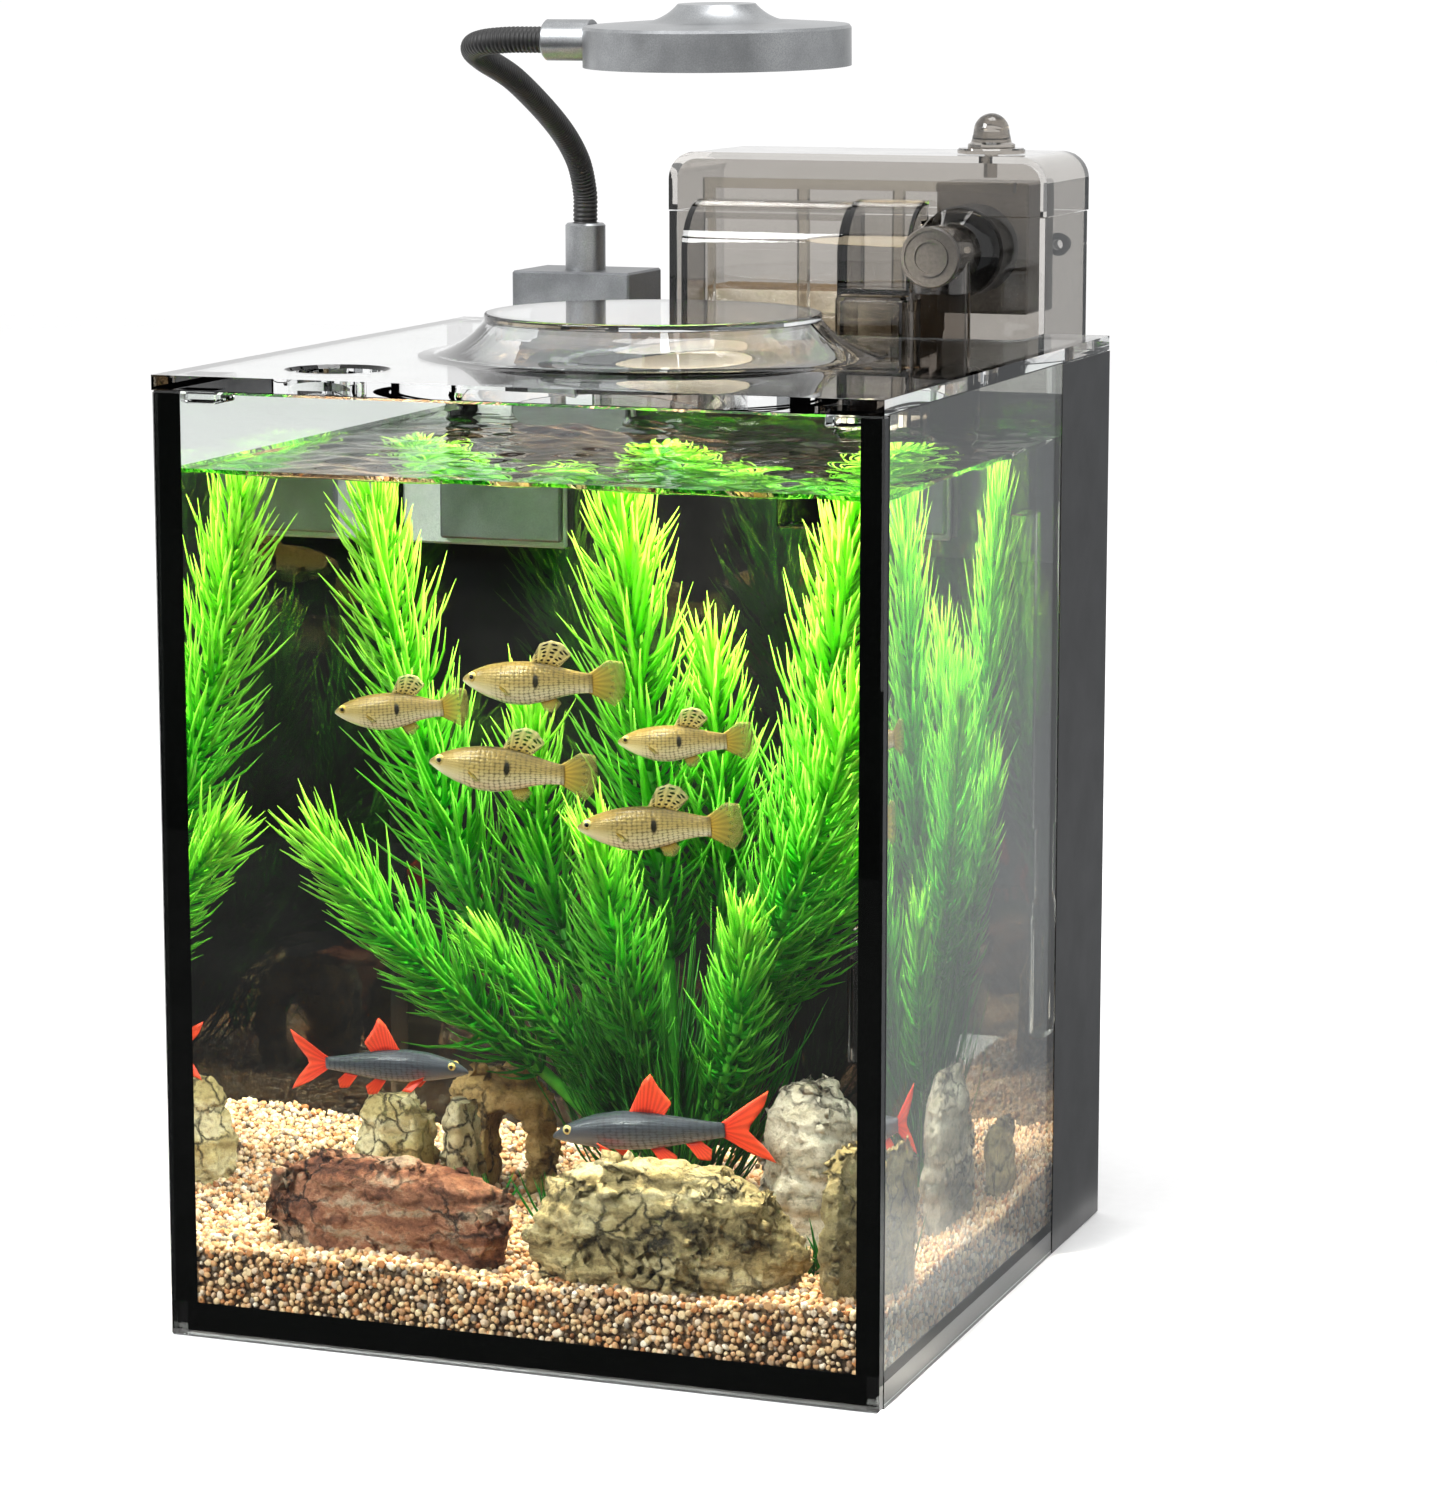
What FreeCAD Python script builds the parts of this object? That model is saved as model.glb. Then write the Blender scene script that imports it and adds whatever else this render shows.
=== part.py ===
import FreeCAD, Part
import Sketcher
import math
import os
import re

# A desk-top aquarium: a five-pane glass tank with a clear lid, a clamp-on lamp on a bendable neck, a hang-on-back
# filter, gravel, stones and plants. Millimetres, +Z up, origin at the middle of the tank's underside, -Y to the front.

DOC = FreeCAD.newDocument("Aquarium")
V = FreeCAD.Vector

# ---- driving sizes -------------------------------------------------------------------------------------------------

SIZES = {
    # tank
    "tank_width": 200, "tank_depth": 205, "tank_height": 254, "glass": 4, "base_glass": 5, "arris": 0.6,
    "seam": 0.5, "corner_bead": 3, "base_bead": 4,
    "back_film": 0.3, "film_drop": 13, "band_film": 0.2, "right_band": 48, "left_band": 19, "film_inset": 0.3,
    # lid
    "lid_sheet": 4, "notch_left": 16, "notch_right": 19, "notch_depth": 26, "notch_corner": 6,
    "feed_hole": 13, "feed_from_left": 38.5, "feed_from_front": 31.5, "feed_bevel": 1,
    "collar_foot": 64, "collar_top": 46, "collar_rise": 9.5, "collar_flare": 24, "collar_wall": 2.5,
    "disc_sheet": 2, "disc_round": 0.8, "disc_ring": 1.8, "disc_ring_drop": 4, "disc_fit": 0.5,
    "block_side": 12, "block_drop": 3.5, "block_fit": 0.7, "block_arris": 0.4,
    # lamp clamp
    "clamp_from_left": 39, "clamp_width": 37, "clamp_front": 8, "clamp_back": 15, "clamp_rise": 19, "jaw_sheet": 3.5,
    "jaw_reach": 54, "arm_sheet": 8, "arm_reach": 32, "screw_drop": 22, "screw_radius": 3, "screw_fit": 0.05,
    "plate_width": 50, "plate_tall": 37, "plate_sheet": 3, "plate_from_left": 8, "plate_drop": 56, "rubber_sheet": 1.5,
    "rubber_inset": 1.5, "pad_radius": 7.5, "pad_sheet": 2.4, "knob_radius": 9, "knob_length": 9, "screw_out": 14,
    "gland_radius": 3.4, "gland_length": 4, "gland_bore": 1.6,
    # lamp neck and head
    "ferrule_radius": 5.95, "ferrule_rise": 13.7, "spigot_radius": 4, "spigot_length": 8, "spigot_fit": 0.08,
    "hose_radius": 3.6, "hose_socket": 4, "hose_gap": 0.25, "hose_bend": 19, "head_ferrule_radius": 5.6,
    "head_ferrule_length": 13.5, "head_along": 76.8, "head_y": 7.5, "head_rise": 81.6, "head_lean": 1.6,
    "head_radius": 36.3, "head_side": 10.6, "head_wall": 1.5, "dome_foot": 22.5, "dome_top": 10.5, "dome_rise": 6,
    "dome_flare": 14, "board_radius": 32, "board_sheet": 1.6, "board_up": 4, "chip_side": 3, "chip_rise": 0.9,
    "chip_circle": 22, "chip_count": 12, "lens_sheet": 1.6, "lens_up": 0.5, "lens_fit": 0.1,
    # filter body
    "case_left": -35, "case_right": 80, "case_gap": 1.7, "case_depth": 44, "case_drop": 84, "case_rise": 36.7,
    "case_wall": 2, "case_corner": 8, "cover_fit": 0.3, "cover_rise": 17, "knob_x": 59, "knob_y": 120,
    "stem_radius": 2, "stem_fit": 0.1, "flange_radius": 9.85, "dome_radius": 5.9, "dome_height": 11.5,
    "spout_left": -25, "spout_right": 24, "spout_reach": 16.5, "spout_wall": 1.5, "spout_rise": 40.5,
    "shoulder_rise": 27, "spout_drop": 16, "spout_leg": 8.5, "spout_round": 16, "window_rise": 8,
    "hood_left": 24.3, "hood_right": 45, "hood_rise": 14.9, "hood_proud": 0.7,
    # filter intake
    "intake_x": 54, "intake_inset": 14.5, "intake_rise": 26.6, "elbow_radius": 8.7, "elbow_wall": 1.7,
    "elbow_reach": 25.5, "drop_step": 0.15, "elbow_flange": 12.5, "elbow_flange_length": 6, "cap_sheet": 1.4,
    "cap_ring": 5.4, "tube_rise": 16, "tube_bottom": 118, "inner_tube_fit": 0.08, "inner_tube_wall": 1.3,
    "inner_tube_top": 150, "inner_tube_bottom": 92, "strainer_radius": 9, "strainer_wall": 1.4, "strainer_top": 96,
    "strainer_bottom": 56, "slot_width": 1.8, "slot_count": 8, "slot_margin": 5,
    # surface skimmer
    "skimmer_width": 20, "skimmer_depth": 16, "skimmer_inset": 23, "skimmer_rise": 14.6, "skimmer_drop": 46,
    "skimmer_wall": 1.3, "skimmer_gap": 0.3, "skimmer_slots": 5, "skimmer_slot_tall": 16, "water_drop": 22,
    "float_fit": 0.5, "float_tall": 7,
    # filter inside
    "rotor_housing": 13, "rotor_wall": 1.5, "rotor_length": 15, "rotor_hub": 3, "rotor_tip": 9.6,
    "rotor_blade": 1.2, "rotor_blades": 6, "blade_length": 8, "magnet_radius": 5.5, "magnet_length": 15,
    "well_fit": 0.5, "shaft_radius": 1, "shaft_fit": 0.06, "motor_width": 28, "motor_depth": 20, "motor_tall": 38,
    "frame_left": -25.7, "frame_right": 36, "frame_bar_right": 69.4, "frame_sheet": 3, "frame_rib": 3,
    "frame_rise": 46.5, "frame_drop": 78, "media_rise": 14, "media_gap": 0.5, "rest_radius": 7,
    "rest_drop": 72,
    # contents
    "gravel_front": 23, "gravel_back": 26, "gravel_gap": 0.3, "stone_sunk": 2, "arch_width": 11, "arch_height": 20,
    "plant_foot": 9, "plant_foot_rise": 6, "stem_thick": 1.3,
}

# Heights that follow the tank's rim, and places that follow its sides.
WORKED_OUT = {
    "clamp_x": "clamp_from_left - tank_width / 2", "head_x": "clamp_x + head_along",
    "head_z": "tank_height + head_rise", "back_film_top": "tank_height - film_drop",
    "case_bottom": "tank_height - case_drop", "case_top": "tank_height + case_rise",
    "spout_top": "tank_height + spout_rise", "spout_shoulder": "tank_height + shoulder_rise",
    "spout_bottom": "tank_height - spout_drop", "window_bottom": "tank_height + window_rise",
    "hood_bottom": "tank_height + hood_rise", "intake_y": "tank_depth / 2 - intake_inset",
    "elbow_front": "tank_depth / 2 + back_film + case_gap - elbow_reach", "intake_z": "tank_height + intake_rise",
    "tube_top": "tank_height + tube_rise", "skimmer_front": "tank_depth / 2 - skimmer_inset",
    "skimmer_top": "tank_height + skimmer_rise", "skimmer_bottom": "tank_height - skimmer_drop",
    "water_level": "tank_height - water_drop", "frame_top": "tank_height + frame_rise",
    "frame_bottom": "tank_height - frame_drop", "media_top": "tank_height + media_rise",
    "rest_height": "tank_height - rest_drop", "gravel_top": "(gravel_front + gravel_back) / 2",
}

# Stones: middle x and y, turn in degrees, number of corners, phase of the roughness, then length, depth and height.
STONES = {
    "red_slab": ((-44, -76), -4, 9, 0.4, (86, 27, 27)),
    "layered_stone": ((35, -79), 3, 9, 3.0, (84, 32, 33)),
    "corner_stone": ((84.5, -74), 84, 7, 0.9, (36, 13, 41)),
    "cream_stone": ((-65, -3), 12, 7, 1.3, (27, 23, 31)),
    "beige_stone": ((-44.5, -4), 80, 7, 2.6, (20, 12, 31)),
    "arch_stone": ((-40, 20), 4, 8, 2.1, (38, 20, 37)),
    "grey_stone": ((57, -3), 78, 8, 4.2, (41, 32, 44)),
    "tan_stone": ((72, 30), 60, 7, 5.1, (26, 22, 22)),
}

# Plumes: foot and tip of each leafy part of the plant, and its greatest radius.
PLANT_FOOT = (12, 18)
PLUMES = {
    "plume_centre": ((8, 19, 60), (-4, 18, 218), 12),
    "plume_left": ((-36, 19, 90), (-74, 15, 214), 12),
    "plume_right": ((30, 23, 88), (57, 38, 216), 12),
    "plume_front": ((38, 6, 82), (74, -10, 170), 9),
    "plume_low": ((-28, 2, 66), (-83, -24, 124), 8),
}
# The stones and plants were laid out in a tank of these sizes; they move with the walls of any other.
LAYOUT_WIDTH, LAYOUT_DEPTH, LAYOUT_HEIGHT = 200, 205, 254

for stone_name, stone_values in STONES.items():
    for measure, number in zip(("length", "depth", "height"), stone_values[4]):
        SIZES[f"{stone_name}_{measure}"] = number
for plume_name, plume_values in PLUMES.items():
    SIZES[plume_name + "_radius"] = plume_values[2]

SHEET = DOC.addObject("Spreadsheet::Sheet", "sizes")
for row, (alias, number) in enumerate(SIZES.items(), start=1):
    SHEET.set(f"A{row}", alias)
    SHEET.set(f"B{row}", str(number))
    SHEET.setAlias(f"B{row}", alias)
for row, (alias, formula) in enumerate(WORKED_OUT.items(), start=len(SIZES) + 1):
    SHEET.set(f"A{row}", alias)
    SHEET.set(f"B{row}", "=" + formula)
    SHEET.setAlias(f"B{row}", alias)
DOC.recompute()
KNOWN = set(SIZES) | set(WORKED_OUT)


def linked(text):
    """An expression in plain size names, with each name turned into its sheet cell."""
    return re.sub(r"[a-z_]+", lambda m: "sizes." + m.group(0) if m.group(0) in KNOWN else m.group(0), text)


def size(text):
    """The number that an expression in size names gives."""
    return float(SHEET.evalExpression(linked(text)))


def bind(thing, **properties):
    """Bind properties to expressions; a double underscore in a name stands for a dot."""
    for name, text in properties.items():
        thing.setExpression(name.replace("__", "."), linked(text))


# Places that many pieces share.
LEFT = "(-tank_width / 2)"
RIGHT = "(tank_width / 2)"
FRONT = "(-tank_depth / 2)"
BACK = "(tank_depth / 2)"
INNER_BACK = "(tank_depth / 2 - glass)"
LID_TOP = "(tank_height + lid_sheet)"
CASE_FRONT = "(tank_depth / 2 + back_film + case_gap)"
CASE_BACK = "(tank_depth / 2 + back_film + case_gap + case_depth)"
CLAMP_TOP = "(tank_height + clamp_rise)"
CLAMP_LEFT = "(clamp_x - clamp_width / 2)"
JAW_FACE = "(tank_depth / 2 - glass - rubber_sheet)"
SCREW_Z = "(tank_height - screw_drop)"
ARM_FACE = "(tank_depth / 2 + clamp_back - arm_sheet)"


# ---- ways of making a piece ----------------------------------------------------------------------------------------


def arc_centre(start, end, radius):
    """Centre of the short arc between two points; a positive radius puts it on the left of the way along."""
    middle = (start + end) * 0.5
    along = end - start
    height = math.sqrt(max(radius * radius - (along.Length / 2) ** 2, 0.0))
    normal = V(-along.y, along.x, 0).normalize()
    return middle + normal * math.copysign(height, radius)


def outline(sketch, points, holes=()):
    """A closed outline through (x, y) or (x, y, radius) points; a radius makes an arc to the next point."""
    places = [V(size(p[0]), size(p[1]), 0) for p in points]
    for i, point in enumerate(points):
        start, end = places[i], places[(i + 1) % len(points)]
        if len(point) == 2:
            sketch.addGeometry(Part.LineSegment(start, end))
            continue
        radius = size(point[2])
        centre = arc_centre(start, end, radius)
        first, last = (start, end) if radius > 0 else (end, start)
        angles = [math.atan2(p.y - centre.y, p.x - centre.x) for p in (first, last)]
        sketch.addGeometry(Part.ArcOfCircle(Part.Circle(centre, V(0, 0, 1), abs(radius)), *angles))
    turned = [len(p) == 3 and size(p[2]) < 0 for p in points]
    for i, point in enumerate(points):
        before = (i - 1) % len(points)
        own_end = 2 if turned[i] else 1
        sketch.addConstraint(Sketcher.Constraint("Coincident", before, 1 if turned[before] else 2, i, own_end))
        for kind, text, value in (("DistanceX", point[0], places[i].x), ("DistanceY", point[1], places[i].y)):
            number = sketch.addConstraint(Sketcher.Constraint(kind, -1, 1, i, own_end, value))
            sketch.setExpression(f"Constraints[{number}]", linked(text))
        if len(point) == 3:
            number = sketch.addConstraint(Sketcher.Constraint("Radius", i, abs(size(point[2]))))
            sketch.setExpression(f"Constraints[{number}]", linked(f"abs({point[2]})"))
    for x, y, radius in holes:
        centre = V(size(x), size(y), 0)
        ring = sketch.addGeometry(Part.Circle(centre, V(0, 0, 1), size(radius)))
        for kind, text, value in (("DistanceX", x, centre.x), ("DistanceY", y, centre.y)):
            number = sketch.addConstraint(Sketcher.Constraint(kind, -1, 1, ring, 3, value))
            sketch.setExpression(f"Constraints[{number}]", linked(text))
        number = sketch.addConstraint(Sketcher.Constraint("Radius", ring, size(radius)))
        sketch.setExpression(f"Constraints[{number}]", linked(radius))


def sketched(label, plane, points, offset="0", holes=()):
    """A body with one sketch on one of its own origin planes."""
    body = DOC.addObject("PartDesign::Body", label)
    sketch = body.newObject("Sketcher::SketchObject", label + "_outline")
    origin_plane = next(f for f in body.Origin.OriginFeatures if f.Role == plane)
    sketch.AttachmentSupport = [(origin_plane, "")]
    sketch.MapMode = "FlatFace"
    bind(sketch, AttachmentOffset__Base__z=offset)
    outline(sketch, points, holes)
    return body, sketch


def padded(label, plane, points, length, offset="0", holes=(), arris=None):
    """An outline padded along its plane's normal, with all its edges broken where an arris is given."""
    body, sketch = sketched(label, plane, points, offset, holes)
    pad = body.newObject("PartDesign::Pad", label + "_pad")
    pad.Profile = sketch
    bind(pad, Length=length)
    sketch.Visibility = False
    if arris:
        DOC.recompute()
        chamfer = body.newObject("PartDesign::Chamfer", label + "_arris")
        chamfer.Base = (pad, [""])
        chamfer.UseAllEdges = True
        bind(chamfer, Size=arris)
    return body


def plate(label, x, y, z, arris=None):
    """A flat rectangular piece between (low, high) limits along X, Y and Z."""
    corners = [(x[0], y[0]), (x[1], y[0]), (x[1], y[1]), (x[0], y[1])]
    return padded(label, "XY_Plane", corners, f"({z[1]}) - ({z[0]})", offset=z[0], arris=arris)


def bar(label, profile, y, **more):
    """An outline in X and Z, padded from one Y to another. The plane's normal points to -Y."""
    return padded(label, "XZ_Plane", profile, f"({y[1]}) - ({y[0]})", offset=f"-({y[1]})", **more)


TURNS = {"z": (V(0, 0, 1), 0), "y": (V(1, 0, 0), -90), "x": (V(0, 1, 0), 90)}


def turned(label, points, place=("0", "0", "0"), axis="z", lean=None):
    """A turned piece: an outline of (radius, height) points spun about a line along an axis."""
    body, sketch = sketched(label, "XZ_Plane", points)
    spin = body.newObject("PartDesign::Revolution", label + "_turn")
    spin.Profile = sketch
    spin.ReferenceAxis = (sketch, ["V_Axis"])
    spin.Angle = 360
    sketch.Visibility = False
    body.Placement.Rotation = FreeCAD.Rotation(*TURNS[axis])
    bind(body, Placement__Base__x=place[0], Placement__Base__y=place[1], Placement__Base__z=place[2])
    if lean:
        body.Placement.Rotation = FreeCAD.Rotation(V(1, 0, 0), size(lean))
    return body


def rod(label, radius, length, place, axis="z"):
    """A plain cylinder along an axis, used as a cutter or a pin."""
    thing = DOC.addObject("Part::Cylinder", label)
    thing.Placement.Rotation = FreeCAD.Rotation(*TURNS[axis])
    bind(thing, Radius=radius, Height=length)
    bind(thing, Placement__Base__x=place[0], Placement__Base__y=place[1], Placement__Base__z=place[2])
    return thing


def block(label, x, y, z):
    """A plain box between limits, used as a cutter or a small rib."""
    thing = DOC.addObject("Part::Box", label)
    bind(thing, Length=f"({x[1]}) - ({x[0]})", Width=f"({y[1]}) - ({y[0]})", Height=f"({z[1]}) - ({z[0]})")
    bind(thing, Placement__Base__x=x[0], Placement__Base__y=y[0], Placement__Base__z=z[0])
    return thing


def cut(label, base, tools):
    """The base with each tool taken away."""
    joined_tools = tools[0] if len(tools) == 1 else joined(label + "_cutters", tools)
    thing = DOC.addObject("Part::Cut", label)
    thing.Base = base
    thing.Tool = joined_tools
    return thing


def joined(label, pieces):
    """Several solids fused into one piece."""
    thing = DOC.addObject("Part::MultiFuse", label)
    thing.Shapes = pieces
    thing.Refine = True
    return thing


def grouped(label, pieces):
    """Like pieces kept as separate solids in one node."""
    thing = DOC.addObject("Part::Compound", label)
    thing.Links = pieces
    return thing


def computed(label, shape):
    """A piece whose shape is worked out here because no feature makes it."""
    thing = DOC.addObject("Part::Feature", label)
    thing.Shape = shape
    return thing


# ---- tank ----------------------------------------------------------------------------------------------------------


def make_tank():
    inner_x = ("-(tank_width / 2 - glass)", "tank_width / 2 - glass")
    inner_y = ("-(tank_depth / 2 - glass)", "tank_depth / 2 - glass")
    floor_x = ("-(tank_width / 2 - glass - seam)", "tank_width / 2 - glass - seam")
    floor_y = ("-(tank_depth / 2 - glass - seam)", "tank_depth / 2 - glass - seam")
    tall = ("0", "tank_height")
    plate("base_pane", floor_x, floor_y, ("0", "base_glass"))
    plate("front_pane", (LEFT, RIGHT), (FRONT, inner_y[0]), tall, "arris")
    plate("back_pane", (LEFT, RIGHT), (inner_y[1], BACK), tall, "arris")
    plate("left_pane", (LEFT, inner_x[0]), floor_y, tall)
    plate("right_pane", (inner_x[1], RIGHT), floor_y, tall)

    # Each corner seal is a film in the butt joint and a bead in the inside angle.
    seals = []
    for side, side_name in ((-1, "left"), (1, "right")):
        for end, end_name in ((-1, "front"), (1, "rear")):
            wall = f"{side} * (tank_width / 2 - glass)"
            skin = f"{side} * tank_width / 2"
            face = f"{end} * (tank_depth / 2 - glass)"
            film = f"{end} * (tank_depth / 2 - glass - seam)"
            bead_x = f"{side} * (tank_width / 2 - glass - corner_bead)"
            bead_y = f"{end} * (tank_depth / 2 - glass - seam - corner_bead)"
            points = [(skin, face), (skin, film), (wall, film), (wall, bead_y), (bead_x, face)]
            if side * end < 0:
                points.reverse()
            seals.append(padded(f"seal_{end_name}_{side_name}", "XY_Plane", points,
                                "tank_height - base_glass - base_bead - arris", offset="base_glass + base_bead"))
    grouped("corner_seals", seals)

    ring = plate("seal_ring", inner_x, inner_y, ("seam / 2", "base_glass + base_bead"))
    seat = block("seal_seat", floor_x, floor_y, ("-1", "base_glass"))
    hole = DOC.addObject("Part::Wedge", "seal_hole")
    narrow = "(tank_width / 2 - glass - base_bead)"
    shallow = "(tank_depth / 2 - glass - base_bead)"
    # The wedge's own Y runs up through the bead, so the hole widens towards the top.
    bind(hole, Xmin=f"-{narrow}", Xmax=narrow, Zmin=f"-{shallow}", Zmax=shallow, Ymin="0", Ymax="base_bead")
    bind(hole, X2min=f"-{narrow} - base_bead + seam", X2max=f"{narrow} + base_bead - seam")
    bind(hole, Z2min=f"-{shallow} - base_bead + seam", Z2max=f"{shallow} + base_bead - seam")
    hole.Placement.Rotation = FreeCAD.Rotation(V(1, 0, 0), 90)
    bind(hole, Placement__Base__z="base_glass")
    cut("base_seal", ring, [seat, hole])

    rear = plate("rear_film", (f"{LEFT} + film_inset", f"{RIGHT} - film_inset"), (BACK, f"{BACK} + back_film"),
                 ("film_inset", "back_film_top"))
    band_z = ("film_inset", "tank_height - film_inset")
    right = plate("right_band_film", (RIGHT, f"{RIGHT} + band_film"), (f"{BACK} - right_band", BACK), band_z)
    left = plate("left_band_film", (f"{LEFT} - band_film", LEFT), (f"{BACK} - left_band", BACK), band_z)
    grouped("backing_film", [rear, left, right])


# ---- lid -----------------------------------------------------------------------------------------------------------


def make_lid():
    notch_l = f"{LEFT} + notch_left"
    notch_r = f"{RIGHT} - notch_right"
    notch_f = f"{BACK} - notch_depth"
    feed_x = f"{LEFT} + feed_from_left"
    feed_y = f"{FRONT} + feed_from_front"
    points = [
        (LEFT, FRONT), (RIGHT, FRONT), (RIGHT, BACK), (notch_r, BACK),
        (notch_r, f"{notch_f} + notch_corner", "-notch_corner"), (f"{notch_r} - notch_corner", notch_f),
        (f"{notch_l} + notch_corner", notch_f, "-notch_corner"), (notch_l, f"{notch_f} + notch_corner"),
        (notch_l, BACK), (LEFT, BACK),
    ]
    throat = "collar_foot - 2 * collar_wall"
    sheet = padded("lid_sheet_blank", "XY_Plane", points, "lid_sheet", offset="tank_height",
                   holes=[("0", "0", throat), (feed_x, feed_y, "feed_hole")])
    bevel = DOC.addObject("Part::Cone", "feed_bevel_cutter")
    bind(bevel, Radius1="feed_hole", Radius2="feed_hole + feed_bevel", Height="feed_bevel")
    bind(bevel, Placement__Base__x=feed_x, Placement__Base__y=feed_y, Placement__Base__z=f"{LID_TOP} - feed_bevel")
    cut("lid_plate", sheet, [bevel])

    turned("lid_collar", [
        ("collar_foot - 1.8 * collar_wall", "0"), ("collar_foot", "0", "-collar_flare"), ("collar_top", "collar_rise"),
        ("collar_top - collar_wall", "collar_rise", "collar_flare + collar_wall"),
    ], place=("0", "0", LID_TOP))

    turned("cover_disc", [
        ("0", "0"), ("collar_top - collar_wall - disc_fit - disc_ring", "0"),
        ("collar_top - collar_wall - disc_fit - disc_ring", "-disc_ring_drop"),
        ("collar_top - collar_wall - disc_fit", "-disc_ring_drop"), ("collar_top - collar_wall - disc_fit", "0"),
        ("collar_top", "0"), ("collar_top", "disc_sheet - disc_round", "disc_round"),
        ("collar_top - disc_round", "disc_sheet"), ("0", "disc_sheet"),
    ], place=("0", "0", f"{LID_TOP} + collar_rise"))

    # Four blocks under the sheet keep it from sliding off the panes.
    blocks = []
    across = "(tank_width / 2 - glass - block_fit)"
    along = "(tank_depth / 2 - glass - block_fit)"
    for side in (-1, 1):
        for end in (-1, 1):
            outer_x, outer_y = f"{side} * {across}", f"{end} * {along}"
            inner_x, inner_y = f"{side} * ({across} - block_side)", f"{end} * ({along} - block_side)"
            clipped_x = f"{side} * ({across} - corner_bead - block_fit)"
            clipped_y = f"{end} * ({along} - corner_bead - block_fit)"
            points = [(inner_x, inner_y), (outer_x, inner_y), (outer_x, clipped_y), (clipped_x, outer_y),
                      (inner_x, outer_y)]
            blocks.append(padded(f"lid_block_{side + 1}{end + 1}", "XY_Plane", points, "block_drop",
                                 offset="tank_height - block_drop", arris="block_arris"))
    grouped("locating_blocks", blocks)


# ---- lamp ----------------------------------------------------------------------------------------------------------


def make_clamp():
    front = f"{INNER_BACK} - clamp_front"
    back = f"{BACK} + clamp_back"
    jaw_back = f"{front} + jaw_sheet"
    profile = [
        (front, "tank_height - jaw_reach"), (jaw_back, "tank_height - jaw_reach"), (jaw_back, "tank_height"),
        (ARM_FACE, "tank_height"), (ARM_FACE, "tank_height - arm_reach"), (back, "tank_height - arm_reach"),
        (back, CLAMP_TOP), (front, CLAMP_TOP),
    ]
    raw = padded("clamp_blank", "YZ_Plane", profile, "clamp_width", offset=CLAMP_LEFT, arris="arris")
    thread = rod("clamp_thread", "screw_radius", "arm_sheet + 2", ("clamp_x", f"{ARM_FACE} - 1", SCREW_Z), "y")
    socket = rod("clamp_socket", "spigot_radius + spigot_fit", "spigot_length + 1",
                 ("clamp_x", f"{BACK} + hose_gap * 2", f"{CLAMP_TOP} - spigot_length - spigot_fit"))
    cable = rod("clamp_cable_hole", "gland_bore", "arm_sheet / 2",
                ("clamp_x", f"{back} - arm_sheet / 2 + 0.1", "tank_height + clamp_rise / 2"), "y")
    cut("clamp_body", raw, [thread, socket, cable])

    plate_x = (f"{LEFT} + plate_from_left", f"{LEFT} + plate_from_left + plate_width")
    plate_z = ("tank_height - plate_drop", "tank_height - plate_drop + plate_tall")
    plate("jaw_plate", plate_x, (jaw_back, f"{JAW_FACE}"), plate_z, "arris")
    plate("jaw_rubber", (f"{plate_x[0]} + rubber_inset", f"{plate_x[1]} - rubber_inset"), (JAW_FACE, INNER_BACK),
          (f"{plate_z[0]} + rubber_inset", f"{plate_z[1]} - rubber_inset"))

    # The pressure pad swivels on the screw's tip; a blind hole in its back holds the tip.
    tip = "screw_radius * 0.65"
    pad_back = f"{BACK} + back_film + pad_sheet"
    turned("clamp_pad", [
        ("0", "0"), ("pad_radius - arris", "0"), ("pad_radius", "arris"), ("pad_radius", "pad_sheet"),
        (f"{tip} + screw_fit", "pad_sheet"), (f"{tip} + screw_fit", "pad_sheet / 2"), ("0", "pad_sheet / 2"),
    ], place=("clamp_x", f"{BACK} + back_film", SCREW_Z), axis="y")
    shank = "screw_radius - screw_fit"
    grip = f"({BACK} + clamp_back - {BACK} - back_film + screw_out - knob_length)"
    turned("clamp_screw", [
        ("0", "pad_sheet / 2 + screw_fit"), (tip, "pad_sheet / 2 + screw_fit"), (tip, "pad_sheet + screw_fit"),
        (shank, "pad_sheet + screw_fit"), (shank, grip), ("knob_radius - arris", grip),
        ("knob_radius", f"{grip} + arris"), ("knob_radius", f"{grip} + knob_length - arris"),
        ("knob_radius - arris", f"{grip} + knob_length"), ("0", f"{grip} + knob_length"),
    ], place=("clamp_x", f"{BACK} + back_film", SCREW_Z), axis="y")
    turned("lamp_gland", [
        ("gland_bore", "0"), ("gland_radius", "0"), ("gland_radius - arris", "gland_length"),
        ("gland_bore", "gland_length"),
    ], place=("clamp_x", back, "tank_height + clamp_rise / 2"), axis="y")


NECK_FOOT = ("clamp_x", f"({BACK} + hose_gap * 2)", f"({CLAMP_TOP} + ferrule_rise + hose_radius + hose_gap)")
NECK_END = ("(head_x - head_radius - head_ferrule_length - hose_radius - hose_gap)", "head_y", "(head_z + 6.6)")


def hose_path(points, radii):
    """Straight runs joined by tangent arcs."""
    edges = []
    here = points[0]
    for i in range(1, len(points) - 1):
        before = (points[i - 1] - points[i]).normalize()
        after = (points[i + 1] - points[i]).normalize()
        half = before.getAngle(after) / 2
        reach = radii[i - 1] / math.tan(half)
        start, end = points[i] + before * reach, points[i] + after * reach
        middle_way = (before + after).normalize()
        centre = points[i] + middle_way * (radii[i - 1] / math.sin(half))
        edges.append(Part.LineSegment(here, start).toShape())
        edges.append(Part.Arc(start, centre - middle_way * radii[i - 1], end).toShape())
        here = end
    edges.append(Part.LineSegment(here, points[-1]).toShape())
    return Part.Wire(edges)


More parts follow.
